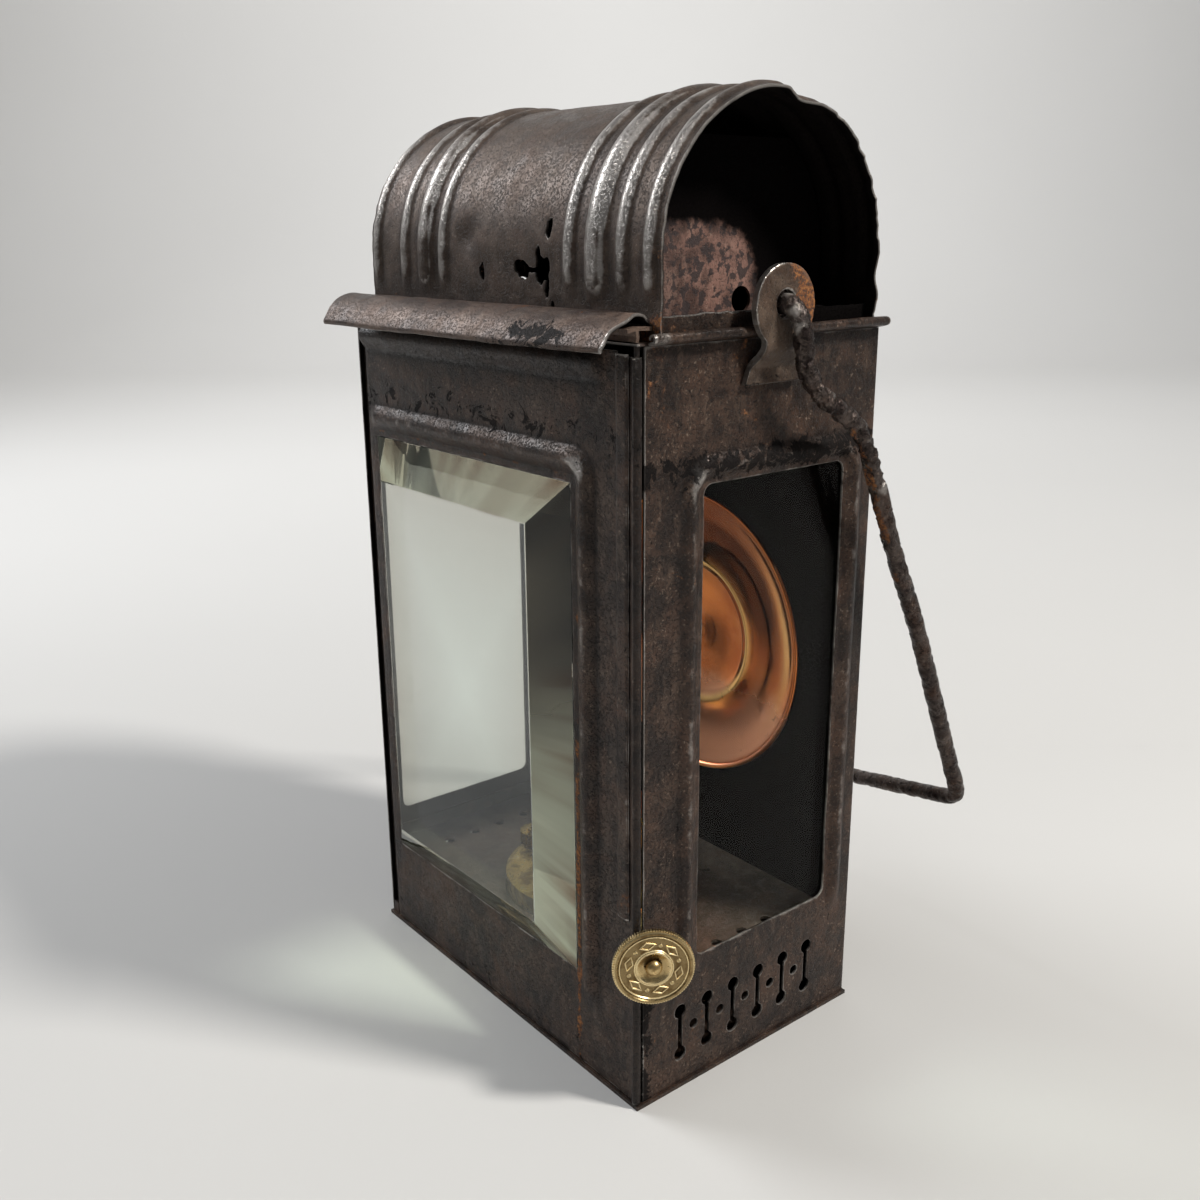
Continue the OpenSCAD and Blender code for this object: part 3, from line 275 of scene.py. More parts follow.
class Finish:
    def __init__(self, name):
        self.material = bpy.data.materials.new(name)
        self.material.use_nodes = True
        self.tree = self.material.node_tree
        self.tree.nodes.clear()
        self.out = self.add("OutputMaterial")
        coords = self.add("TexCoord").outputs["Object"]
        self.place = self.moved(coords, scale=(1 / mm,) * 3)

    def add(self, kind, values=None, **props):
        node = self.tree.nodes.new("ShaderNode" + kind)
        for k, v in props.items():
            setattr(node, k, v)
        for k, v in (values or {}).items():
            if isinstance(v, bpy.types.NodeSocket):
                self.tree.links.new(v, node.inputs[k])
            else:
                node.inputs[k].default_value = v
        return node

    def moved(self, coords, scale=(1, 1, 1), shift=(0, 0, 0), turn=(0, 0, 0)):
        return self.add("Mapping", {"Vector": coords, "Scale": scale, "Location": shift, "Rotation": turn}).outputs[0]

    def grain(self, size, detail=4, roughness=0.55, twist=0, coords=None):
        values = {"Vector": coords or self.place, "Scale": 1 / size, "Detail": detail,
                  "Roughness": roughness, "Distortion": twist}
        return self.add("TexNoise", values).outputs[0]

    def cells(self, size, coords=None):
        return self.add("TexVoronoi", {"Vector": coords or self.place, "Scale": 1 / size}).outputs["Distance"]

    def sum(self, a, b, how="ADD"):
        return self.add("Math", {0: a, 1: b}, operation=how).outputs[0]

    def window(self, value, low, high, first=0.0, last=1.0):
        values = {"Value": value, "From Min": low, "From Max": high, "To Min": first, "To Max": last}
        return self.add("MapRange", values, interpolation_type="SMOOTHSTEP").outputs[0]

    def blend(self, share, a, b, how="MIX"):
        return self.add("Mix", {0: share, 6: a, 7: b}, data_type="RGBA", blend_type=how, clamp_factor=True).outputs[2]

    def lerp(self, share, a, b):
        return self.add("Mix", {0: share, 2: a, 3: b}, data_type="FLOAT", clamp_factor=True).outputs[0]

    def mark(self, name):
        return self.add("Attribute", attribute_name=name).outputs["Fac"]

    def bump(self, height, strength, depth, under=None):
        values = {"Height": height, "Strength": strength, "Distance": depth * mm}
        if under is not None:
            values["Normal"] = under
        return self.add("Bump", values).outputs[0]

    def shader(self, values):
        node = self.add("BsdfPrincipled", values)
        self.tree.links.new(node.outputs[0], self.out.inputs["Surface"])
        return self.material


# smoke is the near-black of soot and of painted shade on inner faces
ironColours = dict(silver=paint(168, 163, 158), rust=paint(128, 72, 38), rustPale=paint(150, 102, 62),
                   ruddy=paint(90, 66, 53), soot=paint(20, 18, 18), speck=paint(156, 138, 122),
                   smoke=paint(13, 11, 11))


def ironFinish(name, dark, mid, pale, rust=0.0, soot=0.0, silver=0.0, metal=0.5, shine=0.0, specks=0.5,
               streaks=(1, 1, 0.4), wiped=0.35, warm=0.4, pits=1.0, knobbly=0.0, spotted=0.0, smoked=None):
    f = Finish(name)
    c = ironColours
    cloud = f.grain(24, 5, 0.6)
    blotch = f.grain(5.5, 6, 0.65, 0.3)
    fine = f.grain(0.75, 4, 0.7)
    pit = f.window(f.grain(0.55, 4, 0.65, 0.3), 0.36, 0.5, 1, 0)
    rubbed = f.grain(3.4, 6, 0.62, 0.2, coords=f.moved(f.place, scale=streaks))
    tone = f.sum(f.sum(cloud, 0.45, "MULTIPLY"), f.sum(blotch, 0.55, "MULTIPLY"))
    colour = f.blend(f.window(tone, 0.42, 0.6), dark, mid)
    ruddy = f.window(f.grain(11, 7, 0.68, 0.5), 0.47, 0.64, 0, warm)
    colour = f.blend(ruddy, colour, c["ruddy"])
    colour = f.blend(f.window(rubbed, 0.5, 0.66, 0, wiped), colour, pale)
    colour = f.blend(f.sum(pit, 0.45 * pits, "MULTIPLY"), colour, c["soot"])
    flecks = f.sum(f.window(fine, 0.57, 0.69, 0, specks), f.window(blotch, 0.44, 0.6, 0.3, 1), "MULTIPLY")
    colour = f.blend(flecks, colour, c["speck"])
    # the wear mark is worn bare metal, and on some pieces a painted highlight (bead ridges, corners, rims, glints);
    # both blend to silver
    wornAndSheen = f.sum(f.mark("wear"), f.sum(f.mark("edge"), 0.75, "MULTIPLY"))
    wornAndSheen = f.sum(wornAndSheen, f.sum(f.sum(blotch, 0.5, "SUBTRACT"), 1.6, "MULTIPLY"))
    wornAndSheen = f.window(f.sum(wornAndSheen, silver), 0.45, 0.95)
    colour = f.blend(f.sum(wornAndSheen, 0.85, "MULTIPLY"), colour, c["silver"])
    # the grime mark is dirt, and painted shade in creases, recesses and under overhangs; it blends towards near-black
    grime = f.mark("grime")
    colour = f.blend(f.sum(grime, 0.8, "MULTIPLY"), colour, c["soot"])
    patch = f.sum(f.grain(9, 7, 0.7, 0.5), f.sum(f.mark("rust"), 0.28, "MULTIPLY"))
    rusty = f.window(patch, 0.72 - rust, 0.82 - rust)
    rusty = f.sum(rusty, f.window(fine, 0.38, 0.58), "MULTIPLY")
    colour = f.blend(rusty, colour, f.blend(f.window(fine, 0.45, 0.6), c["rust"], c["rustPale"]))
    flake = f.sum(f.grain(4.2, 8, 0.72, 0.8), f.sum(f.mark("soot"), 0.25, "MULTIPLY"))
    flake = f.window(flake, 0.715 - soot, 0.73 - soot)
    colour = f.blend(f.sum(flake, 0.9, "MULTIPLY"), colour, c["soot"])
    if spotted:
        spots = f.window(f.grain(2.4, 4, 0.55, 0.2), 0.5, 0.56, 0, spotted)
        colour = f.blend(spots, colour, paint(60, 52, 52))
    # inner faces (inside mark) are soot-black and painted shade, the shade mark is painted shade and the baffle mask a
    # painted shadow; all blend to near-black smoke with no specular
    inside = f.sum(f.sum(f.mark("inside"), f.mark("shade"), "MAXIMUM"), 0.96, "MULTIPLY")
    if smoked is not None:
        inside = f.sum(inside, smoked(f), "MAXIMUM")
    colour = f.blend(inside, colour, c["smoke"])
    gloss = f.lerp(f.window(blotch, 0.35, 0.65), 0.42 - shine, 0.6 - shine)
    gloss = f.lerp(wornAndSheen, gloss, 0.3)
    gloss = f.lerp(rusty, gloss, 0.88)
    gloss = f.lerp(flake, gloss, 0.6)
    gloss = f.lerp(inside, gloss, 0.8)
    metallic = f.lerp(rusty, f.lerp(wornAndSheen, metal, 0.92), 0.05)
    metallic = f.lerp(f.sum(flake, inside, "MAXIMUM"), metallic, 0.0)
    height = f.sum(f.sum(blotch, 0.8, "MULTIPLY"), f.sum(f.grain(1.9, 4, 0.6, 0.4), 0.7, "MULTIPLY"))
    height = f.sum(f.sum(height, f.sum(flake, 0.35, "MULTIPLY")), f.sum(rusty, 0.3, "MULTIPLY"))
    height = f.sum(height, f.sum(pit, 0.5, "MULTIPLY"), "SUBTRACT")
    normal = f.bump(height, min(1.0, 0.7 * pits), 0.22)
    if knobbly:
        normal = f.bump(f.grain(1.7, 5, 0.62, 0.3), 1.0, knobbly, under=normal)
    return f.shader({"Base Color": colour, "Metallic": metallic, "Roughness": gloss, "Normal": normal,
                     "Specular IOR Level": f.lerp(f.sum(inside, f.sum(flake, 0.7, "MULTIPLY"), "MAXIMUM"), 0.3, 0)})


def shadowedBaffle(f):
    # painted shadow: the plate is darkened everywhere but the low front corner of each mouth
    place = f.add("SeparateXYZ", {0: f.place}).outputs
    a = f.sum(f.sum(f.sum(place["Y"], 13), 1 / 24, "MULTIPLY"), 4, "POWER")
    b = f.sum(f.sum(f.sum(place["Z"], -181), 1 / 22.5, "MULTIPLY"), 4, "POWER")
    return f.window(f.sum(f.sum(a, b), f.sum(f.grain(5, 5, 0.65), 0.8, "MULTIPLY")), 1.05, 1.7)


def metalFinish(name, bright, tarnish, stain, share=0.5, gloss=0.3, size=6, scratchSize=0.5, metal=1.0, polish=None):
    f = Finish(name)
    cloud = f.grain(size, 6, 0.62, 0.4)
    lines = f.grain(scratchSize, 3, 0.6)
    colour = f.blend(f.window(cloud, 0.62 - 0.3 * share, 0.78 - 0.3 * share), bright, tarnish)
    spots = f.window(f.grain(size * 0.3, 5, 0.7, 0.5), 0.62, 0.7)
    colour = f.blend(f.sum(spots, 0.7, "MULTIPLY"), colour, stain)
    colour = f.blend(f.sum(f.mark("grime"), 0.85, "MULTIPLY"), colour, stain)
    wornAndSheen = f.sum(f.mark("wear"), f.window(lines, 0.3, 0.5, 0.3, 0.9), "MULTIPLY")
    colour = f.blend(wornAndSheen, colour, polish or bright)
    shine = f.lerp(f.window(cloud, 0.4, 0.65), gloss, gloss + 0.16)
    shine = f.lerp(spots, shine, 0.65)
    height = f.sum(f.sum(lines, 0.6, "MULTIPLY"), f.sum(cloud, 0.8, "MULTIPLY"))
    normal = f.bump(height, 0.25, 0.06)
    return f.shader({"Base Color": colour, "Metallic": f.lerp(spots, metal, 0.6 * metal), "Roughness": shine,
                     "Normal": normal})


def copperFinish(name, centre):
    # spun copper: faint rings about its middle; the tarnish mark paints tarnish in its trough plus painted shade over
    # its upper part, the wear mark paints highlights in bright gold; pinker and stained below
    f = Finish(name)
    local = f.moved(f.place, shift=tuple(-c for c in centre))
    local = f.moved(local, scale=(1, 0, 1))
    radius = f.add("VectorMath", {0: local}, operation="LENGTH").outputs["Value"]
    rings = f.add("TexNoise", {"W": radius, "Scale": 0.8, "Detail": 2.0}, noise_dimensions="1D").outputs[0]
    cloud = f.grain(14, 5, 0.6, 0.4)
    low = f.window(f.sum(f.add("SeparateXYZ", {0: f.place}).outputs["Z"], f.sum(cloud, 24, "MULTIPLY")), 84, 96, 1, 0)
    colour = f.blend(f.window(cloud, 0.35, 0.65), paint(232, 136, 72), paint(212, 112, 56))
    colour = f.blend(f.sum(low, 0.75, "MULTIPLY"), colour, paint(238, 172, 140))
    colour = f.blend(f.sum(f.mark("tarnish"), 0.92, "MULTIPLY"), colour, paint(76, 32, 16))
    colour = f.blend(f.mark("wear"), colour, paint(255, 206, 130))
    stain = f.window(f.sum(f.grain(3.6, 6, 0.7, 0.6), f.sum(low, 0.05, "MULTIPLY")), 0.66, 0.74)
    colour = f.blend(f.sum(stain, 0.5, "MULTIPLY"), colour, paint(70, 38, 26))
    gloss = f.lerp(f.window(f.sum(rings, f.sum(cloud, 0.4, "MULTIPLY")), 0.5, 0.9), 0.09, 0.16)
    gloss = f.lerp(low, gloss, 0.33)
    normal = f.bump(f.sum(f.sum(rings, 0.2, "MULTIPLY"), f.grain(22, 3, 0.5)), 0.08, 0.1)
    return f.shader({"Base Color": colour, "Metallic": 1.0, "Roughness": gloss, "Normal": normal})


def glassFinish(name, tint, dust, ior=1.5, bevel=None):
    # clear glass that lets the lamps through, with brown specks, grimy edges and dull bevels
    f = Finish(name)
    dots = f.window(f.grain(1.3, 2, 0.5), 0.78, 0.82)
    edge = f.mark("edge")
    colour = tint if bevel is None else f.blend(f.mark("bevel"), tint, bevel)
    colour = f.blend(f.sum(f.sum(dots, 0.7, "MULTIPLY"), edge), colour, paint(120, 84, 52))
    shine = f.sum(edge, dust, "MULTIPLY")
    body = f.add("BsdfPrincipled", {"Base Color": colour, "Roughness": shine, "IOR": ior,
                                    "Transmission Weight": f.sum(1.0, f.mark("haze"), "SUBTRACT")})
    clear = f.add("BsdfTransparent", {"Color": tint})
    lamp = f.add("LightPath").outputs["Is Shadow Ray"]
    mixed = f.add("MixShader", {0: lamp, 1: body.outputs[0], 2: clear.outputs[0]})
    f.tree.links.new(mixed.outputs[0], f.out.inputs["Surface"])
    return f.material


def clothFinish(name, pale, dark, turn):
    f = Finish(name)
    local = f.moved(f.place, turn=(0, 0, turn))
    weave = f.add("TexWave", {"Vector": local, "Scale": 0.75, "Distortion": 1.2, "Detail": 2.0},
                  bands_direction="Z").outputs[0]
    ribs = f.add("TexWave", {"Vector": local, "Scale": 0.6, "Distortion": 0.6}, bands_direction="X").outputs[0]
    threads = f.sum(weave, ribs, "MULTIPLY")
    soil = f.window(f.grain(4, 5, 0.6), 0.4, 0.7)
    char = f.window(f.add("SeparateXYZ", {0: f.place}).outputs["Z"], 51.5, 53.5)
    colour = f.blend(f.sum(soil, 0.5, "MULTIPLY"), pale, dark)
    colour = f.blend(f.sum(char, 0.9, "MULTIPLY"), colour, paint(24, 20, 18))
    return f.shader({"Base Color": colour, "Roughness": 0.92, "Normal": f.bump(threads, 0.6, 0.3)})


lampAngle = math.radians(33)
reflectorLow, reflectorHigh = boxOf("reflector")
reflectorMid = (reflectorLow + reflectorHigh) / 2

finishes = dict(
    wall=ironFinish("wallIron", paint(37, 28, 24), paint(67, 51, 42), paint(96, 78, 66), rust=0.05, soot=0.055,
                    metal=0.2, shine=0.12, specks=0.6, pits=1.5),
    door=ironFinish("doorIron", paint(41, 33, 29), paint(74, 61, 53), paint(102, 89, 79), rust=0.045, soot=0.035,
                    metal=0.25, warm=0.4, shine=0.12, specks=0.55, pits=1.4),
    roof=ironFinish("roofIron", paint(70, 59, 52), paint(94, 81, 72), paint(118, 105, 96), rust=0.025, soot=0.0,
                    metal=0.6, shine=0.02, silver=-0.05, specks=0.45, streaks=(0.7, 1, 1), warm=0.3, pits=1.1),
    hood=ironFinish("hoodIron", paint(72, 57, 49), paint(114, 95, 83), paint(142, 124, 112), rust=0.06, soot=0.045,
                    streaks=(0.4, 1, 1), metal=0.42, shine=0.05),
    ear=ironFinish("earIron", paint(66, 54, 46), paint(98, 82, 70), paint(122, 106, 92), rust=0.1, soot=0.03,
                   metal=0.4, shine=0.1, specks=0.6, silver=0.05),
    bail=ironFinish("bailIron", paint(50, 42, 40), paint(88, 78, 73), paint(132, 122, 116), rust=0.04, soot=0.05,
                    specks=0.6, pits=1.4, streaks=(1, 1, 0.6), metal=0.85, shine=0.2, silver=0.12, knobbly=0.6),
    baffle=ironFinish("baffleIron", paint(84, 64, 58), paint(148, 112, 100), paint(172, 138, 124), rust=0.06,
                      soot=0.06, specks=0.8, metal=0.1, warm=0.1, spotted=0.9, smoked=shadowedBaffle),
    inner=ironFinish("innerIron", paint(34, 29, 27), paint(50, 42, 38), paint(62, 52, 46), rust=0.07, soot=0.07,
                     metal=0.3),
    floorTin=ironFinish("floorTin", paint(78, 68, 62), paint(112, 99, 91), paint(140, 127, 119), rust=0.05,
                        soot=0.05, metal=0.7, shine=0.14, silver=0.1, warm=0.3),
    brass=metalFinish("agedBrass", paint(176, 152, 92), paint(120, 98, 54), paint(48, 36, 22), share=0.55,
                      gloss=0.27, size=5),
    knobBrass=metalFinish("knobBrass", paint(200, 174, 124), paint(150, 122, 78), paint(58, 42, 26), share=0.45,
                          gloss=0.24, size=3, scratchSize=0.3, polish=paint(246, 226, 178)),
    burnerCopper=metalFinish("burnerCopper", paint(196, 116, 66), paint(120, 66, 40), paint(44, 28, 20), share=0.6,
                             gloss=0.3, size=4),
    copper=copperFinish("spunCopper", (reflectorMid[0], 0, reflectorMid[2])),
    frontGlass=glassFinish("frontGlass", paint(240, 246, 242), 0.04, bevel=paint(212, 218, 192)),
    paneGlass=glassFinish("paneGlass", paint(236, 238, 234), 0.04, ior=1.12),
    leather=metalFinish("washerLeather", paint(96, 66, 44), paint(74, 50, 34), paint(40, 28, 20), gloss=0.6,
                        metal=0.0),
    cotton=clothFinish("wickCotton", paint(216, 205, 180), paint(150, 128, 96), lampAngle))
print("finishes made")


# Walls: pressed sheet with a window, a bead round it and air slots
wallSettings = dict(sheet=0.8, paneLap=6.8, windowRound=2.5, beadOff=3.9, beadWide=5.4, beadHigh=1.4, slots=6,
                    slotPitch=8.95, firstSlot=13.75, lowLobe=9.2, highLobe=21, lobe=3.8, neck=1.5, vent=2.7,
                    ventHeight=15.7, foot=1, spindleHole=1.45, dent=0.16, seed=11)


def roundBox(x, y, x0, x1, y0, y1, r):
    dx = np.abs(x - (x0 + x1) / 2) - (x1 - x0) / 2 + r
    dy = np.abs(y - (y0 + y1) / 2) - (y1 - y0) / 2 + r
    return np.hypot(np.maximum(dx, 0), np.maximum(dy, 0)) + np.minimum(np.maximum(dx, dy), 0) - r


def bead(distance, wide, high):
    near = np.clip(np.abs(distance) / (wide / 2), 0, 1)
    return high * (1 - near ** 2) ** 1.5


def endWall(node, s, side):
    low, high = boxOf(node)
    glass = boxOf("side_glass_right")
    deep = boxOf("rear_wall")[1][1]
    front = low[1] if side > 0 else -high[1]
    outer = boxOf("side_glass_right")[1][0] + s["sheet"] / 2
    y0, y1 = glass[0][1] + s["paneLap"], glass[1][1] - s["paneLap"]
    z0, z1 = glass[0][2] + s["paneLap"], glass[1][2] - s["paneLap"]
    turn = s["windowRound"] + s["beadOff"]
    knobSpot = spindleAt(outer)

    def frameLine(y, z):
        off = s["beadOff"]
        return roundBox(y, z, y0 - off, y1 + off, z0 - 80, z1 + off, turn)

    def metal(y, z):
        d = roundBox(y, z, y0, y1, z0, z1, s["windowRound"])
        for i in range(s["slots"]):
            at = -deep + s["firstSlot"] + i * s["slotPitch"]
            for lobeZ in (s["lowLobe"], s["highLobe"]):
                d = np.minimum(d, np.hypot(y - at, z - lobeZ) - s["lobe"] / 2)
            d = np.minimum(d, roundBox(y, z, at - s["neck"] / 2, at + s["neck"] / 2, s["lowLobe"], s["highLobe"], 0.1))
            if i < s["slots"] - 1:
                d = np.minimum(d, np.hypot(y - at - s["slotPitch"] / 2, z - s["ventHeight"]) - s["vent"] / 2)
        if side > 0:
            d = np.minimum(d, np.hypot((y - knobSpot[1]) * 0.84, z - knobSpot[2]) - s["spindleHole"])
        return d

    def place(y, z):
        p = points(y, z, side * 7.7)
        line = frameLine(y, z)
        fade = ease(z, z0 - 6, z0 + 3)
        rise = bead(line, s["beadWide"], s["beadHigh"]) * fade
        inward = np.minimum(np.minimum(y - front, deep - y), np.minimum(z - 1, 180 - z))
        hold = ease(inward, 0, 6)
        dents = s["dent"] * (rough(p, 30, s["seed"], 2) + 0.5 * rough(p, 7, s["seed"] + 5, 2)) * hold
        x = outer + rise + dents * 0.8
        ridge = np.clip(rise / s["beadHigh"], 0, 1)
        # painted highlight, partly wear: a bright spot on the window bead's upper front corner
        corner = np.exp(-((y - y0 + 2.6) ** 2 + (z - z1 - 2.6) ** 2) / 9)
        wear = 0.5 * ridge ** 4 + 0.7 * corner + 0.3 * np.exp(-((y - front) / 0.9) ** 2)
        foot = np.exp(-((line - s["beadWide"] * 0.52) / 0.9) ** 2) * fade
        slotBand = np.exp(-((z - 15) / 9) ** 2)
        # painted shade, partly dirt: darker in the crease at the bead's foot and under the deck's overhang
        grime = np.clip(0.55 * foot + 0.35 * ease(z, 172, 180), 0, 1)
        sootMark = np.exp(-((z - z1 - 4) / 3.5) ** 2) + np.exp(-((y - front) / 3) ** 2) * ease(60 - z, 0, 40)
        rustMark = 0.6 * ease(-y, -25, 10) * ease(z, 100, 170) + 0.3 * slotBand
        marks = dict(wear=wear, grime=grime, soot=0.9 * sootMark, rust=0.4 * rustMark)
        return points(side * x, side * y, z), marks

    ys = spread((front, 0.46), deep)
    zs = spread((s["foot"], 0.4), (25, 0.9), (144, 0.5), (160, 0.9), 180)
    part = sheetGrid(ys, zs, place, s["sheet"], metal)
    name = "rightWall" if side > 0 else "leftWall"
    return makePiece(name, [part], finishes["wall"], "root", [node])


def spindleAt(x):
    # where the wick spindle is when it reaches that width
    low, high = boxOf("wick_spindle")
    height = (low[2] + high[2]) / 2
    knobLow, knobHigh = boxOf("wick_knob")
    middle = (knobLow + knobHigh) / 2
    back = (x - middle[0]) * math.tan(lampAngle)
    return x, middle[1] - back, height


endWall("end_wall_right", wallSettings, 1)
endWall("end_wall_left", wallSettings, -1)

rearSettings = dict(sheet=0.8, seamIn=5.2, seamWide=3.6, seamHigh=0.42, dent=0.35, seed=23)


def rearWall(s):
    low, high = boxOf("rear_wall")
    outer = boxOf("deck_plate")[1][1] - 0.6

    def place(x, z):
        p = points(x, 3.3, z)
        seams = bead(np.abs(x) - high[0] + s["seamIn"], s["seamWide"], s["seamHigh"])
        hold = ease(np.minimum(high[0] - np.abs(x), np.minimum(z - low[2], high[2] - z)), 0, 8)
        dents = s["dent"] * hold * (rough(p, 34, s["seed"], 2) + 0.3 * rough(p, 8, s["seed"] + 4, 2))
        rivet = np.exp(-(np.hypot(x, z - reflectorMid[2]) / 7) ** 2)
        y = outer - s["sheet"] / 2 + seams - np.abs(dents) * 0.9 - 0.25 * rivet
        wear = 0.35 * seams / s["seamHigh"] + 0.2 * rivet
        scorch = np.exp(-(np.hypot(x, (z - 100) * 0.7) / 30) ** 2)
        marks = dict(wear=wear, grime=0.25 * scorch, rust=0.5 * ease(40 - z, 0, 30), soot=0.2 * scorch)
        return points(x, y, z), marks

    part = sheetGrid(spread((low[0], 1.1), high[0])[::-1], spread((low[2], 1.1), high[2]), place, s["sheet"])
    return makePiece("rearWall", [part], finishes["wall"], "root", ["rear_wall"])


rearWall(rearSettings)
print("walls made")


# Deck: a plate whose two ends are rolled round a wire, with an upstand in each roof mouth
deckSettings = dict(sheet=0.7, rollMid=0.74, rollTurn=285, smoke=22, frontCut=2.8, dent=0.25, collarSheet=0.8,
                    collarIn=3.0, collarHigh=5.2, seed=31)


def deckPlate(s):
    low, high = boxOf("deck_plate")
    wire = boxOf("rim_wires")
    axisX = wire[1][0] - (wire[1][2] - wire[0][2]) / 2
    axisZ = (wire[0][2] + wire[1][2]) / 2
    level = low[2] + 0.4
    a = np.radians(np.arange(-90, -90 + s["rollTurn"] + 1, 15))
    roll = [(axisX + s["rollMid"] * math.cos(t), axisZ + s["rollMid"] * math.sin(t)) for t in a]
    half, along = curveThrough([(0, level), (30, level), (56, level), (58.3, level + 0.05), *roll], 0.2)

    def across(u):
        return np.sign(u) * np.interp(np.abs(u), along, half[:, 0]), np.interp(np.abs(u), along, half[:, 1])

    def metal(u, y):
        return np.minimum(np.hypot(u, y) - s["smoke"], np.maximum(58.9 - np.abs(u), y - low[1] - s["frontCut"]))

    def place(u, y):
        x, z = across(u)
        p = points(x, y, 5.5)
        rolled = ease(np.abs(u), 58, 60.5)
        bend = s["dent"] * (rough(points(np.sign(u) * 60, y), 16, s["seed"], 2)) * rolled
        nose = np.exp(-((y - low[1]) / 3) ** 2)
        x = x + np.sign(u) * 0.35 * (bend - 0.25)
        z = z + bend * 0.6 + 0.1 * rough(p, 12, s["seed"] + 3, 2) * (1 - rolled)
        wear = rolled * (0.15 + 0.5 * np.exp(-((y - low[1] - 5) / 2.5) ** 2)) + 0.4 * nose
        marks = dict(wear=wear, grime=0.3 * (1 - rolled), soot=0.25 * rolled * ease(y, 0, 30),
                     rust=0.4 * (1 - rolled), inside=1 - rolled)
        return points(x, y, z), marks

    end = along[-1]
    us = spread((-end, 0.24), (-57.5, 1.4), (57.5, 0.24), end)
    parts = [sheetGrid(us, spread((low[1], 0.9), high[1]), place, s["sheet"], metal)]
    roofLow, roofHigh = boxOf("roof_barrel")
    wide = 32.3
    for side, mouth in ((1, roofHigh[0]), (-1, -roofLow[0])):
        def collar(y, z, side=side, mouth=mouth):
            p = points(y, z, side * 9)
            lean = 0.5 * rough(p, 18, s["seed"] + 9, 2) * ease(z, high[2] - 4.5, high[2])
            x = mouth - s["collarIn"] - s["collarSheet"] / 2 + lean * 0.4
            top = ease(z, level + 4, level + 6)
            front = 1 - ease(y, 2, 9)
            # painted shade: the rear part of each upstand is darkened by the shade mark and heavy soot flakes
            marks = dict(wear=0.4 * top * front, grime=0.4 * (1 - top), rust=0.3 + 0 * y, soot=0.2 + 1.6 * (1 - front),
                         shade=1 - front)
            return points(side * x, side * y, z), marks

        def edge(y, z, side=side):
            jag = 0.45 * np.abs(rough(points(y, side * 5.0), 5, s["seed"] + 2, 3))
            return level + 0.4 + s["collarHigh"] - jag - z
        parts.append(sheetGrid(spread((-wide, 0.6), wide), spread((level, 0.5), level + 5.7), collar,
                               s["collarSheet"], edge))
    return makePiece("deckPlate", parts, finishes["wall"], "root", ["deck_plate"])


deckPlate(deckSettings)

# Hood: an ogee strip along the front, its worn lip bent up; points are distance past the door and height over the deck
hoodSettings = dict(sheet=0.8, wave=0.5, tip=1.1, seed=41, deckTop=180.8,
                    outline=[(-3.5, 3.7), (-2.5, 4.3), (-1.3, 5.25), (0.8, 5.5), (3.0, 5.0), (5.2, 3.9), (7.2, 2.4),
                             (8.9, 0.6), (9.8, -0.5), (10.0, -1.0), (9.7, -1.5)])


def dripHood(s):
    low, high = boxOf("drip_hood")
    face = boxOf("deck_plate")[0][1] + 0.8
    outline, along = curveThrough(s["outline"], 0.25)

    def place(v, x):
        reach, rise = (np.interp(v, along, outline[:, i]) for i in (0, 1))
        t = v / along[-1]
        p = points(x, 0, v * 0.6)
        swing = s["wave"] * (rough(points(x, 3.1), 38, s["seed"], 2)) * ease(t, 0.3, 1)
        tip = s["tip"] * np.exp(-((x - high[0]) / 7) ** 2) * ease(t, 0.55, 1)
        reach = reach + 0.35 * swing - 0.5 * tip - 0.25 * ease(t, 0.5, 1)
        rise = rise + 0.35 * swing + 0.2 * tip + 0.12 * rough(p, 6, s["seed"] + 3, 2) * ease(t, 0.1, 0.3)
        side = np.sign(x)
        stretch = x + side * ease(np.abs(x), 50, high[0]) * (0.9 * rough(points(v, side * 4), 4, s["seed"] + 6, 2)
                                                             + 0.4 * np.sin(t * 3.1))
        under = ease(t, 0.72, 0.95)
        endTip = np.exp(-((np.abs(x) - high[0]) / 2.5) ** 2)
        crest = np.exp(-((t - 0.3) / 0.1) ** 2)
        flaked = np.exp(-((x - 34) / 14) ** 2) * ease(t, 0.35, 0.8)
        # painted shade under the rolled nose (grime), and a faint painted highlight along the crest (wear)
        marks = dict(wear=0.7 * endTip * ease(t, 0.6, 1) * (x > 0) + 0.15 * crest,
                     grime=0.3 * ease(0.2 - t, 0, 0.15) + 0.35 * under * (1 - endTip),
                     soot=0.85 * flaked + 0.3 * ease(0.25 - t, 0, 0.2), rust=0.25 * crest)
        return points(stretch, face - reach, s["deckTop"] + rise), marks

    part = sheetGrid(spread((0, 0.34), along[-1]), spread((low[0], 0.6), high[0]), place, s["sheet"])
    return makePiece("dripHood", [part], finishes["hood"], "root", ["drip_hood"])


dripHood(hoodSettings)
print("deck and hood made")


# Roof: one beaded sheet over the barrel, rusted through in places and ragged at its mouths
roofSettings = dict(sheet=0.8, wideBeads=(-27.3, 39.7), narrowBeads=(-51.3, -37.4, -19.4, 30.6, 48.1, 57),
                    wide=8.0, wideHigh=1.7, narrow=4.6, narrowHigh=0.95, beadFoot=6, dent=0.16, seed=53,
                    holes=[(-2.9, 193.8, 1.1, 1.8), (13.8, 193.9, 2.3, 1.9), (12.0, 194.6, 1.5, 1.2),
                           (17.2, 194.0, 1.9, 0.9), (20.4, 193.7, 2.3, 3.0), (22.3, 194.5, 1.5, 2.4),
                           (19.3, 197.2, 0.9, 1.6), (22.3, 190.9, 0.9, 1.9), (23.0, 202.0, 0.9, 2.4),
                           (24.5, 186.5, 0.6, 0.9)])


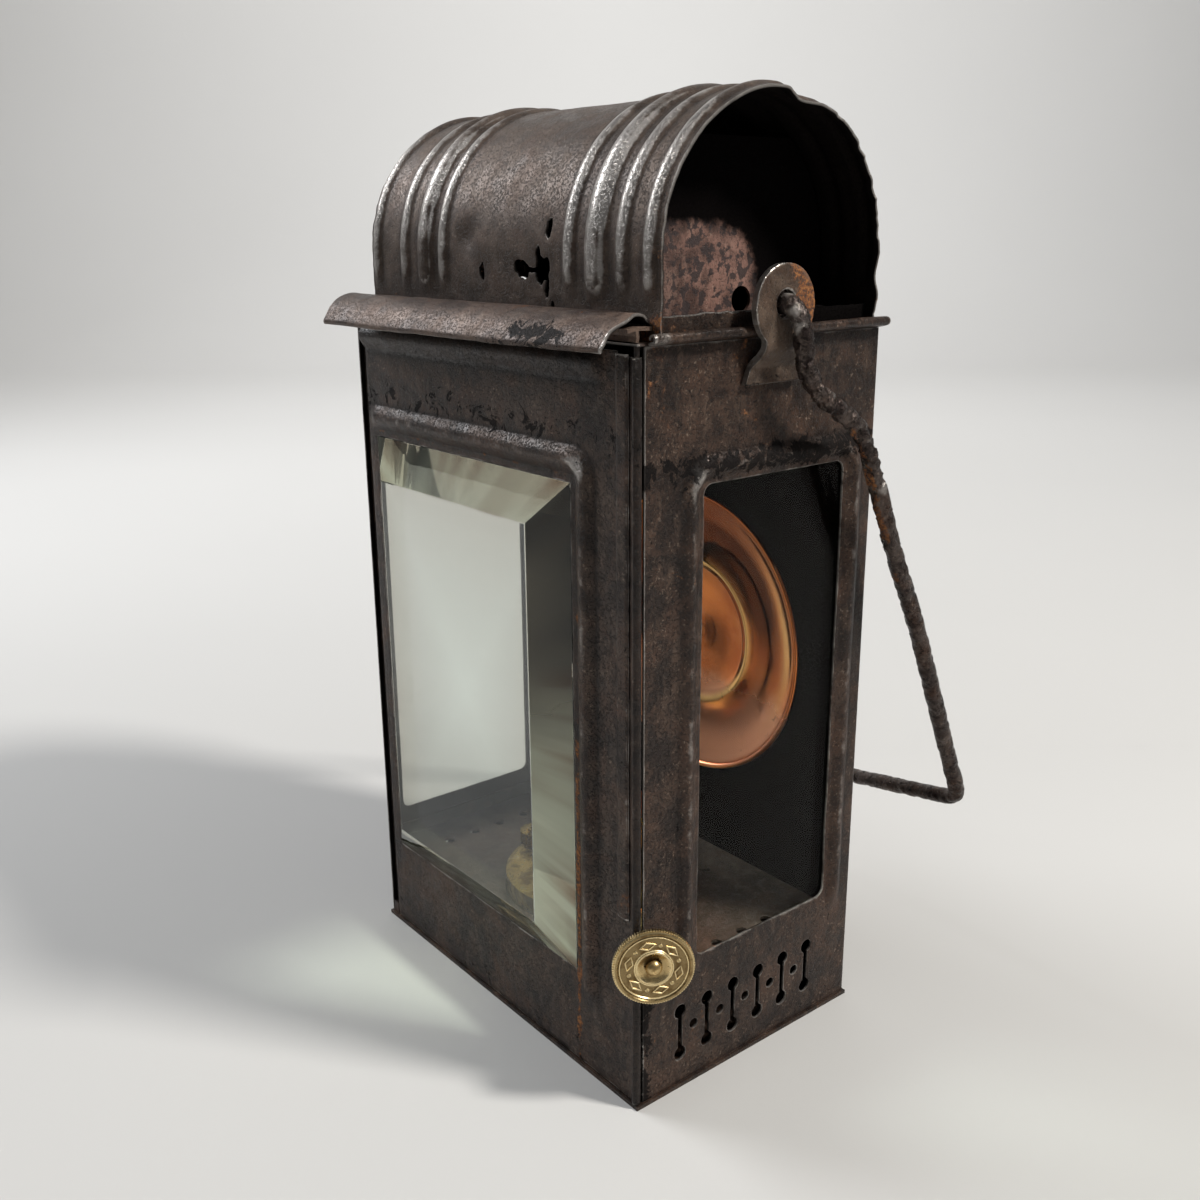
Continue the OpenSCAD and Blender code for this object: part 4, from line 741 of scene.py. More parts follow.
def roofBarrel(s):
    low, high = boxOf("roof_barrel")
    radius = (high[1] - low[1]) / 2
    outer = radius - 1.7
    deckTop = low[2]
    spring = high[2] - radius
    middle = outer - s["sheet"] / 2
    straight = spring - deckTop
    arc = math.pi * middle
    total = 2 * straight + arc

    def section(v):
        # across and up directions at a length along the section, from the front foot over to the rear foot
        a = np.clip((v - straight) / middle, 0, math.pi)
        outY, outZ = -np.cos(a), np.sin(a)
        lift = np.where(v < straight, v, np.where(v > total - straight, total - v, straight))
        return a, outY, outZ, middle * outY, deckTop + lift + middle * outZ

    def heightAt(v):
        return section(v)[4]

    def metal(x, v):
        front = v < total / 2
        z = heightAt(v)
        d = np.full(len(x), 50.0)
        warp = 0.9 * rough(points(x, z), 2.2, s["seed"] + 8, 3)
        for hx, hz, rx, rz in s["holes"]:
            d = np.minimum(d, (np.hypot((x - hx) / rx, (z - hz) / rz) - 1) * min(rx, rz) + warp * 0.5)
        return np.where(front, d, 50.0)

    def place(x, v):
        a, outY, outZ, y, z = section(v)
        p = points(x, y, z)
        foot = ease(np.minimum(v, total - v), s["beadFoot"], s["beadFoot"] + 7)
        rise = np.zeros(len(x))
        valley = np.zeros(len(x))
        for spots, wide, tall in ((s["wideBeads"], s["wide"], s["wideHigh"]),
                                  (s["narrowBeads"], s["narrow"], s["narrowHigh"])):
            for at in spots:
                rise += bead(x - at, wide, tall)
                valley += np.exp(-((np.abs(x - at) - wide * 0.56) / 0.8) ** 2)
        rise *= foot
        dents = s["dent"] * (rough(p, 26, s["seed"], 2) + 0.35 * rough(p, 7, s["seed"] + 4, 2))
        dents -= 1.0 * np.exp(-((x + 9.5) ** 2 + (z - 200.7) ** 2) / 14) * (y < 0)
        dents -= 1.5 * np.exp(-((x - high[0]) / 7) ** 2 - ((y - 8) / 5) ** 2) * (z > spring)
        calm = ease(np.minimum(v, total - v), 0, 6)
        out = rise + (dents - 0.15) * calm
        right = ease(x, high[0] - 9, high[0])
        left = ease(-x, -low[0] - 7, -low[0])
        q = points(v, 2.2)
        rear = ease(v, total * 0.45, total * 0.6)
        ragged = (0.35 + 0.75 * rear) * np.abs(rough(q, 5, s["seed"] + 12, 3)) + 0.5 * np.abs(rough(q, 21, s["seed"] + 2, 1))
        bitten = 2.2 * np.exp(-((y - 7) / 3) ** 2) * (z > spring)
        x2 = x - right * (ragged + bitten) + left * 0.7 * np.abs(rough(q, 6, s["seed"] + 15, 3))
        ridge = np.clip(rise / s["wideHigh"], 0, 1)
        narrowRidge = np.clip(rise / s["narrowHigh"], 0, 1) * (ridge < 0.6)
        rim = np.exp(-((x - high[0]) / 1.6) ** 2)
        # painted highlight, partly wear: bead ridges made silver in a band at mid-slope, the right group brighter
        sheenBand = 0.2 + 0.8 * np.exp(-((a - 0.5) / 0.6) ** 2)
        bright = 1 + 0.35 * ease(x, 26, 34)
        wear = (1.1 * ridge * bright + 0.9 * narrowRidge) * sheenBand + 0.3 * rim * ease(a, 0.1, 0.6)
        near = np.exp(-((x - 17) / 7) ** 2 - ((z - 194) / 6) ** 2) * (y < 0)
        # painted shade, partly dirt, in the valleys beside the beads; also darker towards the feet
        grime = 0.5 * np.clip(valley, 0, 1) * foot * (1 - ridge) + 0.45 * ease(24 - np.minimum(v, total - v), 0, 24)
        grime = np.clip(grime, 0, 1)
        rusts = 0.7 * near + 0.5 * ease(12 - np.minimum(v, total - v), 0, 12) + 0.35 * ease(x, 40, 60)
        marks = dict(wear=wear, grime=grime, rust=rusts, soot=0.35 * near)
        return points(x2, y + outY * out, z + outZ * out), marks

    frontArc = straight + middle * 0.35
    xs = spread((low[0], 0.62), (6, 0.36), (27, 0.6), high[0])
    vs = spread((0, 0.5), (frontArc, 0.85), total)
    part = sheetGrid(xs, vs, place, s["sheet"], metal)
    return makePiece("roofBarrel", [part], finishes["roof"], "root", ["roof_barrel"])


roofBarrel(roofSettings)
print("roof made")


# Door: pressed sheet with a bead over and beside the glass, rolled round the hinge wire at its edge
doorSettings = dict(sheet=0.7, beadOff=5.5, beadWide=6.8, beadHigh=1.8, beadTurn=4.2, eavesAt=176.0,
                    eavesWide=7.2, rollMid=0.74, rollTurn=300, dent=0.2, seed=61, slabLap=1.4, lipGap=0.6)


def doorPanel(s):
    low, high = boxOf("door_panel")
    pinLow, pinHigh = boxOf("hinge_pin")
    pin = (pinLow + pinHigh) / 2
    glass = boxOf("door_glass")
    gx0, gx1 = glass[0][0] + s["slabLap"], glass[1][0] - s["slabLap"]
    gz0, gz1 = glass[0][2] + s["slabLap"], glass[1][2] - s["slabLap"]
    level = boxOf("end_wall_left")[0][1] + s["sheet"] / 2
    top = boxOf("door_stile")[1][2]
    a = np.radians(np.arange(-90, -90 + s["rollTurn"] + 1, 15))
    roll = [(pin[0] + s["rollMid"] * math.cos(t), pin[1] + s["rollMid"] * math.sin(t)) for t in a]
    knots = [(low[0], level), (0, level), (50, level), (54.6, level), (55.9, level - 0.25), *roll]
    path, along = curveThrough(knots, 0.15)
    end = along[-1]
    flat = end - (along[-1] - np.interp(54.6, path[:int(len(path) * 0.9), 0], along[:int(len(path) * 0.9)]))

    def metal(u, z):
        d = roundBox(u + low[0], z, gx0 - 0.1, gx1 + 0.1, gz0 - 0.1, gz1 + 0.1, 0.4)
        cut = np.maximum(flat - u, top - z)
        return np.minimum(d, cut)

    def place(u, z):
        x, y = (np.interp(u, along, path[:, i]) for i in (0, 1))
        flatX = u + low[0]
        rolled = ease(u, flat, flat + 1.5)
        p = points(flatX, z, 4.4)
        line = roundBox(flatX, z, -200, gx1 + s["beadOff"], -200, gz1 + s["beadOff"] - 0.3, s["beadTurn"])
        fade = ease(z, 18, 27) * ease(flatX, gx0 - 3.5, gx0 + 2)
        rise = bead(line, s["beadWide"], s["beadHigh"]) * fade * (1 - rolled)
        eaves = ease(47.5 - flatX, 0, 3)
        rise += bead(z - s["eavesAt"], s["eavesWide"], s["beadHigh"]) * eaves
        hold = ease(np.minimum(np.minimum(u, z - low[2]), top - z), 0, 7) * (1 - rolled)
        hold *= 1 - ease(flatX, 44, 49) * ease(60 - z, 0, 6)
        dents = s["dent"] * (rough(p, 28, s["seed"], 2) + 0.4 * rough(p, 7, s["seed"] + 5, 2)) * hold
        lump = 0.07 * rough(points(x * 2, y * 2, z), 5, s["seed"] + 9, 3) * rolled
        y = y - rise - dents * 0.8 - lump * 0.6
        ridge = np.clip(rise / s["beadHigh"], 0, 1)
        # painted highlight, partly wear: a bright spot on the bead's rounded upper corner
        corner = np.exp(-((flatX - gx1 - 4.2) ** 2 + (z - gz1 - 4) ** 2) / 6)
        foot = np.exp(-((line - s["beadWide"] * 0.52) / 0.9) ** 2) * fade
        inner = np.exp(-((line + s["beadWide"] * 0.5) / 0.8) ** 2) * fade
        groove = np.exp(-((flatX - gx1 - 0.8) / 0.9) ** 2) * ease(gz1 + 4 - z, 0, 4)
        wear = 0.5 * ridge ** 4 * (z < 168) + 0.75 * corner
        wear += 0.45 * rolled * np.exp(-((y - pin[1] + 1) / 0.5) ** 2)
        wear += 0.4 * rolled * ease(z, high[2] - 2, high[2])
        seam = rolled * ease(x, pin[0] - 0.4, pin[0] + 0.5)
        # painted shadow line under the eaves moulding (below), painted shade under the hood, and painted shade, partly
        # dirt, in the bead's creases; the hinge seam is a dark joint
        below = np.exp(-((z - s["eavesAt"] + s["eavesWide"] * 0.56) / 0.8) ** 2) * eaves
        grime = np.clip(0.8 * foot + 0.7 * inner + 0.6 * groove + 0.8 * seam + below
                        + 0.7 * eaves * ease(z, 166, 175), 0, 1)
        rusts = 1.0 * groove * ease(120 - z, 0, 60) + 0.55 * inner + 0.5 * foot * ease(90 - z, 0, 70)
        sootMark = 0.6 * np.exp(-((z - gz1 - 11) / 5) ** 2) + 0.4 * ease(14 - z, 0, 12)
        marks = dict(wear=wear, grime=grime, rust=rusts, soot=sootMark)
        return points(x, y, z - s["lipGap"] * ease(z, high[2] - 4, high[2])), marks

    us = spread((0, 0.62), (gx1 + 1 - low[0], 0.42), (flat, 0.22), end)
    zs = spread((low[2], 0.85), (144, 0.5), (162, 0.85), (top, 0.4), high[2])
    part = sheetGrid(us, zs, place, s["sheet"], metal)
    return makePiece("doorPanel", [part], finishes["door"], "door", ["door_panel"])


doorPanel(doorSettings)

# Doubled stile strip beside the hinge
stileSettings = dict(corner=0.3, seed=67)


def doorStile(s):
    low, high = boxOf("door_stile")
    wide, deep = high[0] - low[0], high[1] - low[1]
    xs = spread((0, 0.28), wide)

    def place(u, z):
        t = np.abs(u / wide - 0.5) * 2
        p = points(u + 3, z, 1.5)
        fall = deep * 0.42 * ease(t, 0.55, 1)
        y = low[1] + deep * 0.28 + fall + 0.08 * rough(p, 9, s["seed"], 3)
        x = low[0] + u + 0.16 * rough(points(z, 5.0), 26, s["seed"] + 3, 2) * 0.8
        wear = 0.5 * np.exp(-((t - 0.72) / 0.16) ** 2) + 0.3 * ease(z, high[2] - 2, high[2])
        marks = dict(wear=wear, grime=0.55 * ease(t, 0.85, 1), rust=0.5 * ease(low[2] + 25 - z, 0, 25), soot=0.1 + 0 * z)
        return points(x, y, z), marks

    part = sheetGrid(xs, spread((low[2], 0.7), high[2]), place, deep * 0.45)
    return makePiece("doorStile", [part], finishes["door"], "door", ["door_stile"])


doorStile(stileSettings)

# Front glass: a slab behind the sheet and a raised block with four bevels, its arrises a little chipped
glassSettings = dict(bevel=10.2, slabLap=1.4, slab=2.0, sheet=0.8, chip=0.22, arris=0.16, perSide=70, seed=71)


def frontGlass(s):
    low, high = boxOf("door_glass")
    face = low[1]
    back = high[1]
    slabFront = back - s["slab"]
    skin = slabFront - s["sheet"]
    lap = s["slabLap"]

    def ring(inset, y, chip=0.0):
        x0, x1, z0, z1 = low[0] + inset, high[0] - inset, low[2] + inset, high[2] - inset
        t = np.linspace(0, 1, s["perSide"], endpoint=False)
        x = np.concatenate([x0 + (x1 - x0) * t, np.full(len(t), x1), x1 - (x1 - x0) * t, np.full(len(t), x0)])
        z = np.concatenate([np.full(len(t), z0), z0 + (z1 - z0) * t, np.full(len(t), z1), z1 - (z1 - z0) * t])
        bite = chip * np.clip(rough(points(x, y, z), 5, s["seed"], 3) - 0.45, 0, 1)
        cx, cz = (x0 + x1) / 2, (z0 + z1) / 2
        return points(x - np.sign(x - cx) * bite, y + bite, z - np.sign(z - cz) * bite)

    a = s["arris"]
    top = lap + s["bevel"]
    slope = (face - skin) / s["bevel"]
    rings = [ring(0.15, back), ring(0, back - 0.15), ring(0, slabFront + 0.15), ring(0.15, slabFront),
             ring(lap, slabFront), ring(lap, skin), ring(lap + a, skin + slope * a, s["chip"]),
             ring(top - a, face - slope * a), ring(top + a, face), ring(top + 4 * a, face)]
    n = 4 * s["perSide"]
    k = np.arange(n)
    m = (k + 1) % n
    quads = np.concatenate([np.stack([i * n + k, i * n + m, (i + 1) * n + m, (i + 1) * n + k], axis=1)
                            for i in range(len(rings) - 1)])
    verts = np.vstack(rings)
    mid = (low + high) / 2
    verts = np.vstack([verts, [[mid[0], back, mid[2]], [mid[0], face, mid[2]]]])
    last = (len(rings) - 1) * n
    caps = [np.stack([np.full(n, len(verts) - 2), m, k], axis=1),
            np.stack([np.full(n, len(verts) - 1), last + k, last + m], axis=1)]
    edge = np.zeros(len(verts))
    edge[6 * n:7 * n] = 0.9 * np.clip(0.4 + rough(verts[6 * n:7 * n], 8, s["seed"] + 4, 3), 0, 1)
    edge[7 * n:9 * n] = 0.5 * np.clip(rough(verts[7 * n:9 * n], 11, s["seed"] + 9, 3) + 0.1, 0, 1)
    edge[:4 * n] = 0.8
    bevel = np.zeros(len(verts))
    bevel[6 * n:8 * n] = 1
    right = bevel * (verts[:, 0] > high[0] - top - 1) * (verts[:, 2] < high[2] - top)
    lower = ease(112 - verts[:, 2], 0, 42)
    haze = bevel * (0.06 + 0.16 * np.clip(rough(verts, 9, s["seed"] + 2, 2), 0, 1)) + 0.66 * right * lower
    edge = np.maximum(edge, 0.55 * right * (1 - lower))
    marks = dict(edge=edge, bevel=bevel, haze=haze)
    return makePiece("frontGlass", [(verts, [quads, *caps], marks)], finishes["frontGlass"], "door",
                     ["door_glass"], sharp=12)


frontGlass(glassSettings)
print("door made")


# Ears: plate with a round head on a flared foot, set off from the wall by a joggle
earSettings = dict(head=9.0, hole=3.0, foot=8.5, waist=5.7, joggleLow=173.6, joggleHigh=178.6, dent=0.12, seed=83)


def ear(node, s, side):
    low, high = boxOf(node)
    thick = 2.0
    pivot = high[2] - s["head"] + 0.5
    inner, outer = (boxOf("ear_right")[i][0] for i in (0, 1))

    def widthAt(z):
        heights = [low[2], low[2] + 3, low[2] + 6, low[2] + 9.7, pivot]
        return np.interp(z, heights, [s["foot"], s["foot"] * 0.86, s["foot"] * 0.68, s["waist"], s["head"]])

    def metal(y, z):
        plate = np.minimum(np.minimum(widthAt(z) - np.abs(y), z - low[2]), pivot - z)
        shape = np.maximum(plate, s["head"] - np.hypot(y, z - pivot + 0.5))
        shape = shape - 0.12 * np.abs(rough(points(y, z, side * 3), 4, s["seed"], 2))
        return np.minimum(shape, np.hypot(y, z - pivot) - s["hole"])

    def place(y, z):
        p = points(y, z, side * 6)
        step = ease(z, s["joggleLow"], s["joggleHigh"])
        x = inner + thick / 2 + (outer - inner - thick) * step
        x = x + s["dent"] * rough(p, 9, s["seed"] + 5, 2) * ease(z, low[2] + 2, low[2] + 6) * 0.6 - 0.06
        hole = np.exp(-((np.hypot(y, z - pivot) - s["hole"]) / 0.7) ** 2)
        head = np.exp(-((np.hypot(y, z - pivot + 0.5) - s["head"]) / 0.7) ** 2) * (z > pivot - 4)
        rusts = 0.9 * ease(y + 0.6 * (z - pivot), 1, 7) * (z > pivot - 6)
        # painted shade at the foot (grime and soot), and a painted highlight on one half of the head's rim; the hole's
        # wear is real
        marks = dict(wear=0.55 * hole + 0.35 * head * (y < 0), rust=rusts, inside=0 * y,
                     grime=0.55 * ease(low[2] + 8 - z, 0, 8) * (0.5 + 0.5 * step), soot=0.5 * ease(low[2] + 5 - z, 0, 4))
        return points(side * x, side * y, z), marks

    ys = spread((-s["head"] - 0.4, 0.36), s["head"] + 0.4)
    zs = spread((low[2] - 0.4, 0.36), high[2] + 0.4)
    part = sheetGrid(ys, zs, place, thick, metal, soften=0.72)
    name = "rightEar" if side > 0 else "leftEar"
    return makePiece(name, [part], finishes["ear"], "root", [node])


ear("ear_right", earSettings, 1)
ear("ear_left", earSettings, -1)


# Geometry Nodes helpers

class NodeTree:
    def __init__(self, name, sockets):
        self.tree = bpy.data.node_groups.new(name, "GeometryNodeTree")
        self.tree.is_modifier = True
        face = self.tree.interface
        face.new_socket("Geometry", in_out="INPUT", socket_type="NodeSocketGeometry")
        for label, kind, value in sockets:
            socket = face.new_socket(label, in_out="INPUT", socket_type="NodeSocket" + kind)
            if value is not None:
                socket.default_value = value
        face.new_socket("Geometry", in_out="OUTPUT", socket_type="NodeSocketGeometry")
        self.inputs = self.tree.nodes.new("NodeGroupInput").outputs

    def add(self, kind, values=None, **props):
        node = self.tree.nodes.new(kind)
        for k, v in props.items():
            setattr(node, k, v)
        for k, v in (values or {}).items():
            if isinstance(v, bpy.types.NodeSocket):
                self.tree.links.new(v, node.inputs[k])
            else:
                node.inputs[k].default_value = v
        return node.outputs

    def math(self, how, a, b=0.0):
        return self.add("ShaderNodeMath", {0: a, 1: b}, operation=how)[0]

    def vector(self, how, a, b):
        return self.add("ShaderNodeVectorMath", {0: a, "Scale" if how == "SCALE" else 1: b}, operation=how)[0]

    def end(self, geometry, material):
        real = self.add("GeometryNodeRealizeInstances", {"Geometry": geometry})[0]
        done = self.add("GeometryNodeSetMaterial", {"Geometry": real, "Material": material})[0]
        self.tree.links.new(done, self.tree.nodes.new("NodeGroupOutput").inputs[0])


def runTree(holder, nodes, values):
    # sets the named inputs, evaluates the modifier and returns the result as a plain mesh
    modifier = holder.modifiers.new("nodes", "NODES")
    modifier.node_group = nodes.tree
    for item in nodes.tree.interface.items_tree:
        if item.in_out == "INPUT" and item.name in values:
            modifier[item.identifier] = values[item.name]
    holder.update_tag()
    bpy.context.view_layer.update()
    graph = bpy.context.evaluated_depsgraph_get()
    seen = holder.evaluated_get(graph)
    mesh = bpy.data.meshes.new_from_object(seen, preserve_all_data_layers=True, depsgraph=graph)
    holder.modifiers.remove(modifier)
    bpy.data.objects.remove(holder)
    return mesh


def meshParts(mesh):
    # a mesh as points in mm, faces and no marks, so that it can join others
    co = np.zeros(len(mesh.vertices) * 3)
    mesh.vertices.foreach_get("co", co)
    byCount = {}
    for polygon in mesh.polygons:
        byCount.setdefault(len(polygon.vertices), []).append(tuple(polygon.vertices))
    return co.reshape(-1, 3) / mm, [np.array(rows) for rows in byCount.values()], {}


# Bail: bent wire from ear to ear, eaten by rust near its hooks; its route is given from the pivot, depth and height
bailSettings = dict(wire=4.6, armSide=2.9, corner=9.0, lump=0.72, lumpSize=2.6, spacing=0.45, sides=26, seed=5,
                    headWide=7.0, headThick=1.4,
                    arm=[(0.6, -1.6), (1.6, -4.5), (3.4, -13), (7, -18.2), (12, -22), (18, -25.6), (22.6, -29.4),
                         (27.8, -38.5), (36.6, -58.2), (47.8, -80), (58.2, -103), (67, -123)],
                    bar=[(73.6, -138.2), (74.6, -140.6), (75.8, -143), (77, -145.4), (78, -147.2), (78.4, -148)])


def bailTree():
    sockets = [("Spacing", "Float", 0.0007), ("Radius", "Float", 0.0023), ("Sides", "Int", 20), ("Lump", "Float", 0.0003),
               ("Lump Size", "Float", 0.003), ("Pivot Height", "Float", 0.187), ("Seed", "Float", 5.0),
               ("Material", "Material", None)]
    n = NodeTree("bailWire", sockets)
    i = n.inputs
    line = n.add("GeometryNodeResampleCurve", {"Curve": i["Geometry"], "Length": i["Spacing"]}, mode="LENGTH")[0]
    ring = n.add("GeometryNodeCurvePrimitiveCircle", {"Resolution": i["Sides"], "Radius": i["Radius"]})[0]
    tube = n.add("GeometryNodeCurveToMesh", {"Curve": line, "Profile Curve": ring, "Fill Caps": True})[0]
    spot = n.add("GeometryNodeInputPosition")[0]
    normal = n.add("GeometryNodeInputNormal")[0]
    scale = n.math("DIVIDE", 1.0, i["Lump Size"])
    noise = n.add("ShaderNodeTexNoise", {"Vector": spot, "W": i["Seed"], "Scale": scale, "Detail": 3.0,
                                         "Roughness": 0.6}, noise_dimensions="4D")[0]
    height = n.add("ShaderNodeSeparateXYZ", {0: spot})["Z"]
    below = n.math("SUBTRACT", i["Pivot Height"], height)
    eaten = n.add("ShaderNodeMapRange", {"Value": below, "From Min": 0.012, "From Max": 0.075, "To Min": 1.0,
                                         "To Max": 0.3}, interpolation_type="SMOOTHSTEP")[0]
    near = n.add("ShaderNodeMapRange", {"Value": below, "From Min": 0.001, "From Max": 0.006, "To Min": 0.15,
                                        "To Max": 1.0}, interpolation_type="SMOOTHSTEP")[0]
    pitted = n.add("ShaderNodeMapRange", {"Value": noise, "From Min": 0.4, "From Max": 0.58, "To Min": -1.0,
                                          "To Max": 0.12}, interpolation_type="SMOOTHSTEP")[0]
    push = n.math("MULTIPLY", n.math("MULTIPLY", pitted, i["Lump"]), n.math("MULTIPLY", eaten, near))
    moved = n.add("GeometryNodeSetPosition", {"Geometry": tube, "Offset": n.vector("SCALE", normal, push)})[0]
    n.end(moved, i["Material"])
    return n


def bail(s):
    earLow, earHigh = boxOf("ear_right")
    pivot = earHigh[2] - earSettings["head"] + 0.5
    outer = earHigh[0]
    armX = outer + s["armSide"]
    half = [(outer - 0.4, 0, 0), (outer + 0.8, 0, 0)]
    half += [(armX - (0.8 if k == 0 else 0), y, z) for k, (y, z) in enumerate(s["arm"])]
    half += [(armX, 71.6, -133.2), (armX - s["corner"] * 0.3, 73, -136.6)]
    steps = len(s["bar"]) - 1
    half += [((armX - s["corner"]) * (1 - k / steps), y, z) for k, (y, z) in enumerate(s["bar"])]
    route = half + [(-x, y, z) for x, y, z in half[-2::-1]]
    line, _ = curveThrough(route, 0.5)
    line = line + (0, 0, pivot)
    curve = bpy.data.curves.new("bailLine", "CURVE")
    curve.dimensions = "3D"
    spline = curve.splines.new("POLY")
    spline.points.add(len(line) - 1)
    spline.points.foreach_set("co", np.hstack([line * mm, np.ones((len(line), 1))]).ravel())
    holder = bpy.data.objects.new("bailLine", curve)
    bpy.context.scene.collection.objects.link(holder)
    mesh = runTree(holder, bailTree(), {"Spacing": s["spacing"] * mm, "Radius": (s["wire"] / 2 - 0.08) * mm, "Sides": s["sides"],
                                        "Lump": s["lump"] * mm, "Lump Size": s["lumpSize"] * mm,
                                        "Pivot Height": pivot * mm, "Seed": float(s["seed"]),
                                        "Material": finishes["bail"]})
    verts, faces, _ = meshParts(mesh)
    below = pivot - verts[:, 2]
    hook = np.exp(-(below / 7) ** 2)
    armY, armZ = np.array(s["arm"]).T
    left = np.interp(below, -armZ, armY) - verts[:, 1]
    # wear at the hooks, and scattered painted glints over the upper arms
    marks = dict(wear=0.45 * hook + 0.75 * rough(verts, 3, 3, 2) * ease(66 - below, 0, 30),
                 rust=1.3 * np.exp(-((below - 42) / 19) ** 2) * ease(left, 1.1, 2.4), soot=0.2 * ease(below, 100, 148))
    parts = [(verts, faces, marks)]
    inner = earHigh[0] - 2.0
    r, t = s["headWide"] / 2, s["headThick"]
    for side in (1, -1):
        def across(v, side=side):
            return np.stack([side * (inner - 0.4 - v[:, 2]), side * v[:, 1], pivot + v[:, 0]], axis=1)
        head = turned([(0, 0), (r * 0.6, 0), (r * 0.95, 0.05), (r, t * 0.35), (r * 0.93, t * 0.7), (r * 0.6, t), (0, t)],
                      28, across)
        stub = swept(np.array([[side * x, 0, pivot] for x in np.linspace(inner - 0.9, outer + 0.4, 6)]),
                     s["wire"] / 2 * 0.97, 20)
        parts += [(head[0], head[1], dict(wear=np.full(len(head[0]), 0.3))), stub]
    return makePiece("bailWire", parts, finishes["bail"], "bail", ["bail"], sharp=50)


bail(bailSettings)
print("ears and bail made")


# Reflector: spun copper dish with a step round its middle and a rolled rim
dishSettings = dict(sheet=0.6, hub=20.7, rim=0.75, dent=0.1, rivetHole=1.6, seed=97,
                    outline=[(1.6, 0.8), (8, 0.7), (14, 0.85), (18, 1.25), (19.8, 1.9), (20.9, 2.3), (22, 2.0),
                             (24, 1.2), (27, 0.8), (30.5, 1.05), (34, 1.75), (37, 2.65), (38.9, 3.35), (39.8, 3.5)])


def reflectorDish(s):
    wall = reflectorHigh[1]
    middle = (reflectorMid[0], reflectorMid[2])
    outline, along = curveThrough(s["outline"], 0.3)

    def place(u, a):
        r, h = (np.interp(u, along, outline[:, i]) for i in (0, 1))
        x, z = middle[0] + r * np.cos(a), middle[1] + r * np.sin(a)
        p = points(x, 2.5, z)
        dents = s["dent"] * (rough(p, 13, s["seed"], 3)) * ease(r, 14, 26)
        nick = 0.5 * np.exp(-((x - 26) ** 2 + (z - 74) ** 2) / 3)
        y = wall - 0.05 - np.maximum(h + np.abs(dents) - nick * 0.6, 0.3)
        # painted highlights: a bright ring at the hub step and a band near the rim on the right; the upper part is
        # painted dark as shade, over real tarnish in the trough and middle
        hubHighlight = np.exp(-((r - s["hub"]) / 1.2) ** 2)
        upper = ease(np.sin(a), -0.35, 0.7)
        outer = ease(r, s["hub"] + 1, s["hub"] + 4)
        trough = outer * (1 - ease(r, 28, 35))
        rimHighlight = np.exp(-((a % (2 * math.pi) - 0.15) / 0.5) ** 2) + np.exp(-((a % (2 * math.pi) - 6.43) / 0.5) ** 2)
        rimHighlight *= np.exp(-((r - 36) / 2.2) ** 2)
        tarnish = 0.95 * trough * (0.35 + 0.65 * upper) + 0.6 * outer * upper + 0.25 * ease(18 - r, 0, 18)
        return points(x, y, z), dict(tarnish=np.clip(tarnish - hubHighlight - rimHighlight, 0, 1), wear=0.8 * hubHighlight + 0.6 * rimHighlight)

    sides = 200
    angles = -np.arange(sides) * 2 * math.pi / sides
    parts = [sheetGrid(spread((0, 0.55), along[-1]), angles, place, s["sheet"], closed=True)]
    ringR = reflectorHigh[0] - s["rim"] - 0.05
    a = np.linspace(0, 2 * math.pi, sides, endpoint=False)
    b = np.linspace(0, 2 * math.pi, 12, endpoint=False)
    aa, bb = np.meshgrid(a, b, indexing="ij")
    lump = 1 + 0.05 * rough(points(np.cos(aa) * 9, np.sin(aa) * 9, 1), 2, s["seed"] + 3, 2).reshape(aa.shape)
    depth = reflectorLow[1] + s["rim"] + 0.05
    rimPoints = points(middle[0] + (ringR + s["rim"] * np.cos(bb) * lump) * np.cos(aa), depth + s["rim"] * np.sin(bb) * lump,
                       middle[1] + (ringR + s["rim"] * np.cos(bb) * lump) * np.sin(aa))
    i, j = np.meshgrid(np.arange(sides), np.arange(12), indexing="ij")
    i, j = i.ravel(), j.ravel()
    i2, j2 = (i + 1) % sides, (j + 1) % 12
    quads = np.stack([i * 12 + j2, i2 * 12 + j2, i2 * 12 + j, i * 12 + j], axis=1)
    parts.append((rimPoints, [quads], {}))
    return makePiece("reflectorDish", parts, finishes["copper"], "root", ["reflector"], sharp=60)


reflectorDish(dishSettings)

rivetSettings = dict(head=3.3, dome=1.0, shank=1.5)


def reflectorRivet(s):
    low, high = boxOf("reflector_rivet")
    mid = (low + high) / 2
    r, d = s["head"], s["dome"]
    front, back = low[1], high[1]
    dome = [(r * math.sin(math.radians(t)), -d * math.cos(math.radians(t))) for t in (20, 38, 54, 68, 80, 90)]
    profile = [(0, -d), *dome, (s["shank"], 0), (s["shank"], back - front - 2 * d)]
    profile += [(x, back - front - 2 * d - h) for x, h in dome[::-1]] + [(0, back - front - d)]

    def stand(v):
        return np.stack([mid[0] - v[:, 0], front + d + v[:, 2], mid[2] + v[:, 1]], axis=1)

    verts, faces, marks = turned(profile, 32, stand)
    return makePiece("reflectorRivet", [(verts, faces, dict(wear=np.full(len(verts), 0.5)))],
                     finishes["burnerCopper"], "root", ["reflector_rivet"], sharp=50)


reflectorRivet(rivetSettings)
print("reflector made")


# Wick knob: turned brass disc with a milled rim, a ring of lozenges and dots, and a hollow for the dome
knobSettings = dict(teeth=96, toothHigh=0.3, lozenges=6, lozengeLong=1.85, lozengeWide=0.95, wire=0.2,
                    dot=0.52, ringAt=0.62, twist=-0.26, lineAt=(0.83, 0.47), hollow=4.0, thick=2.2, hub=1.9)


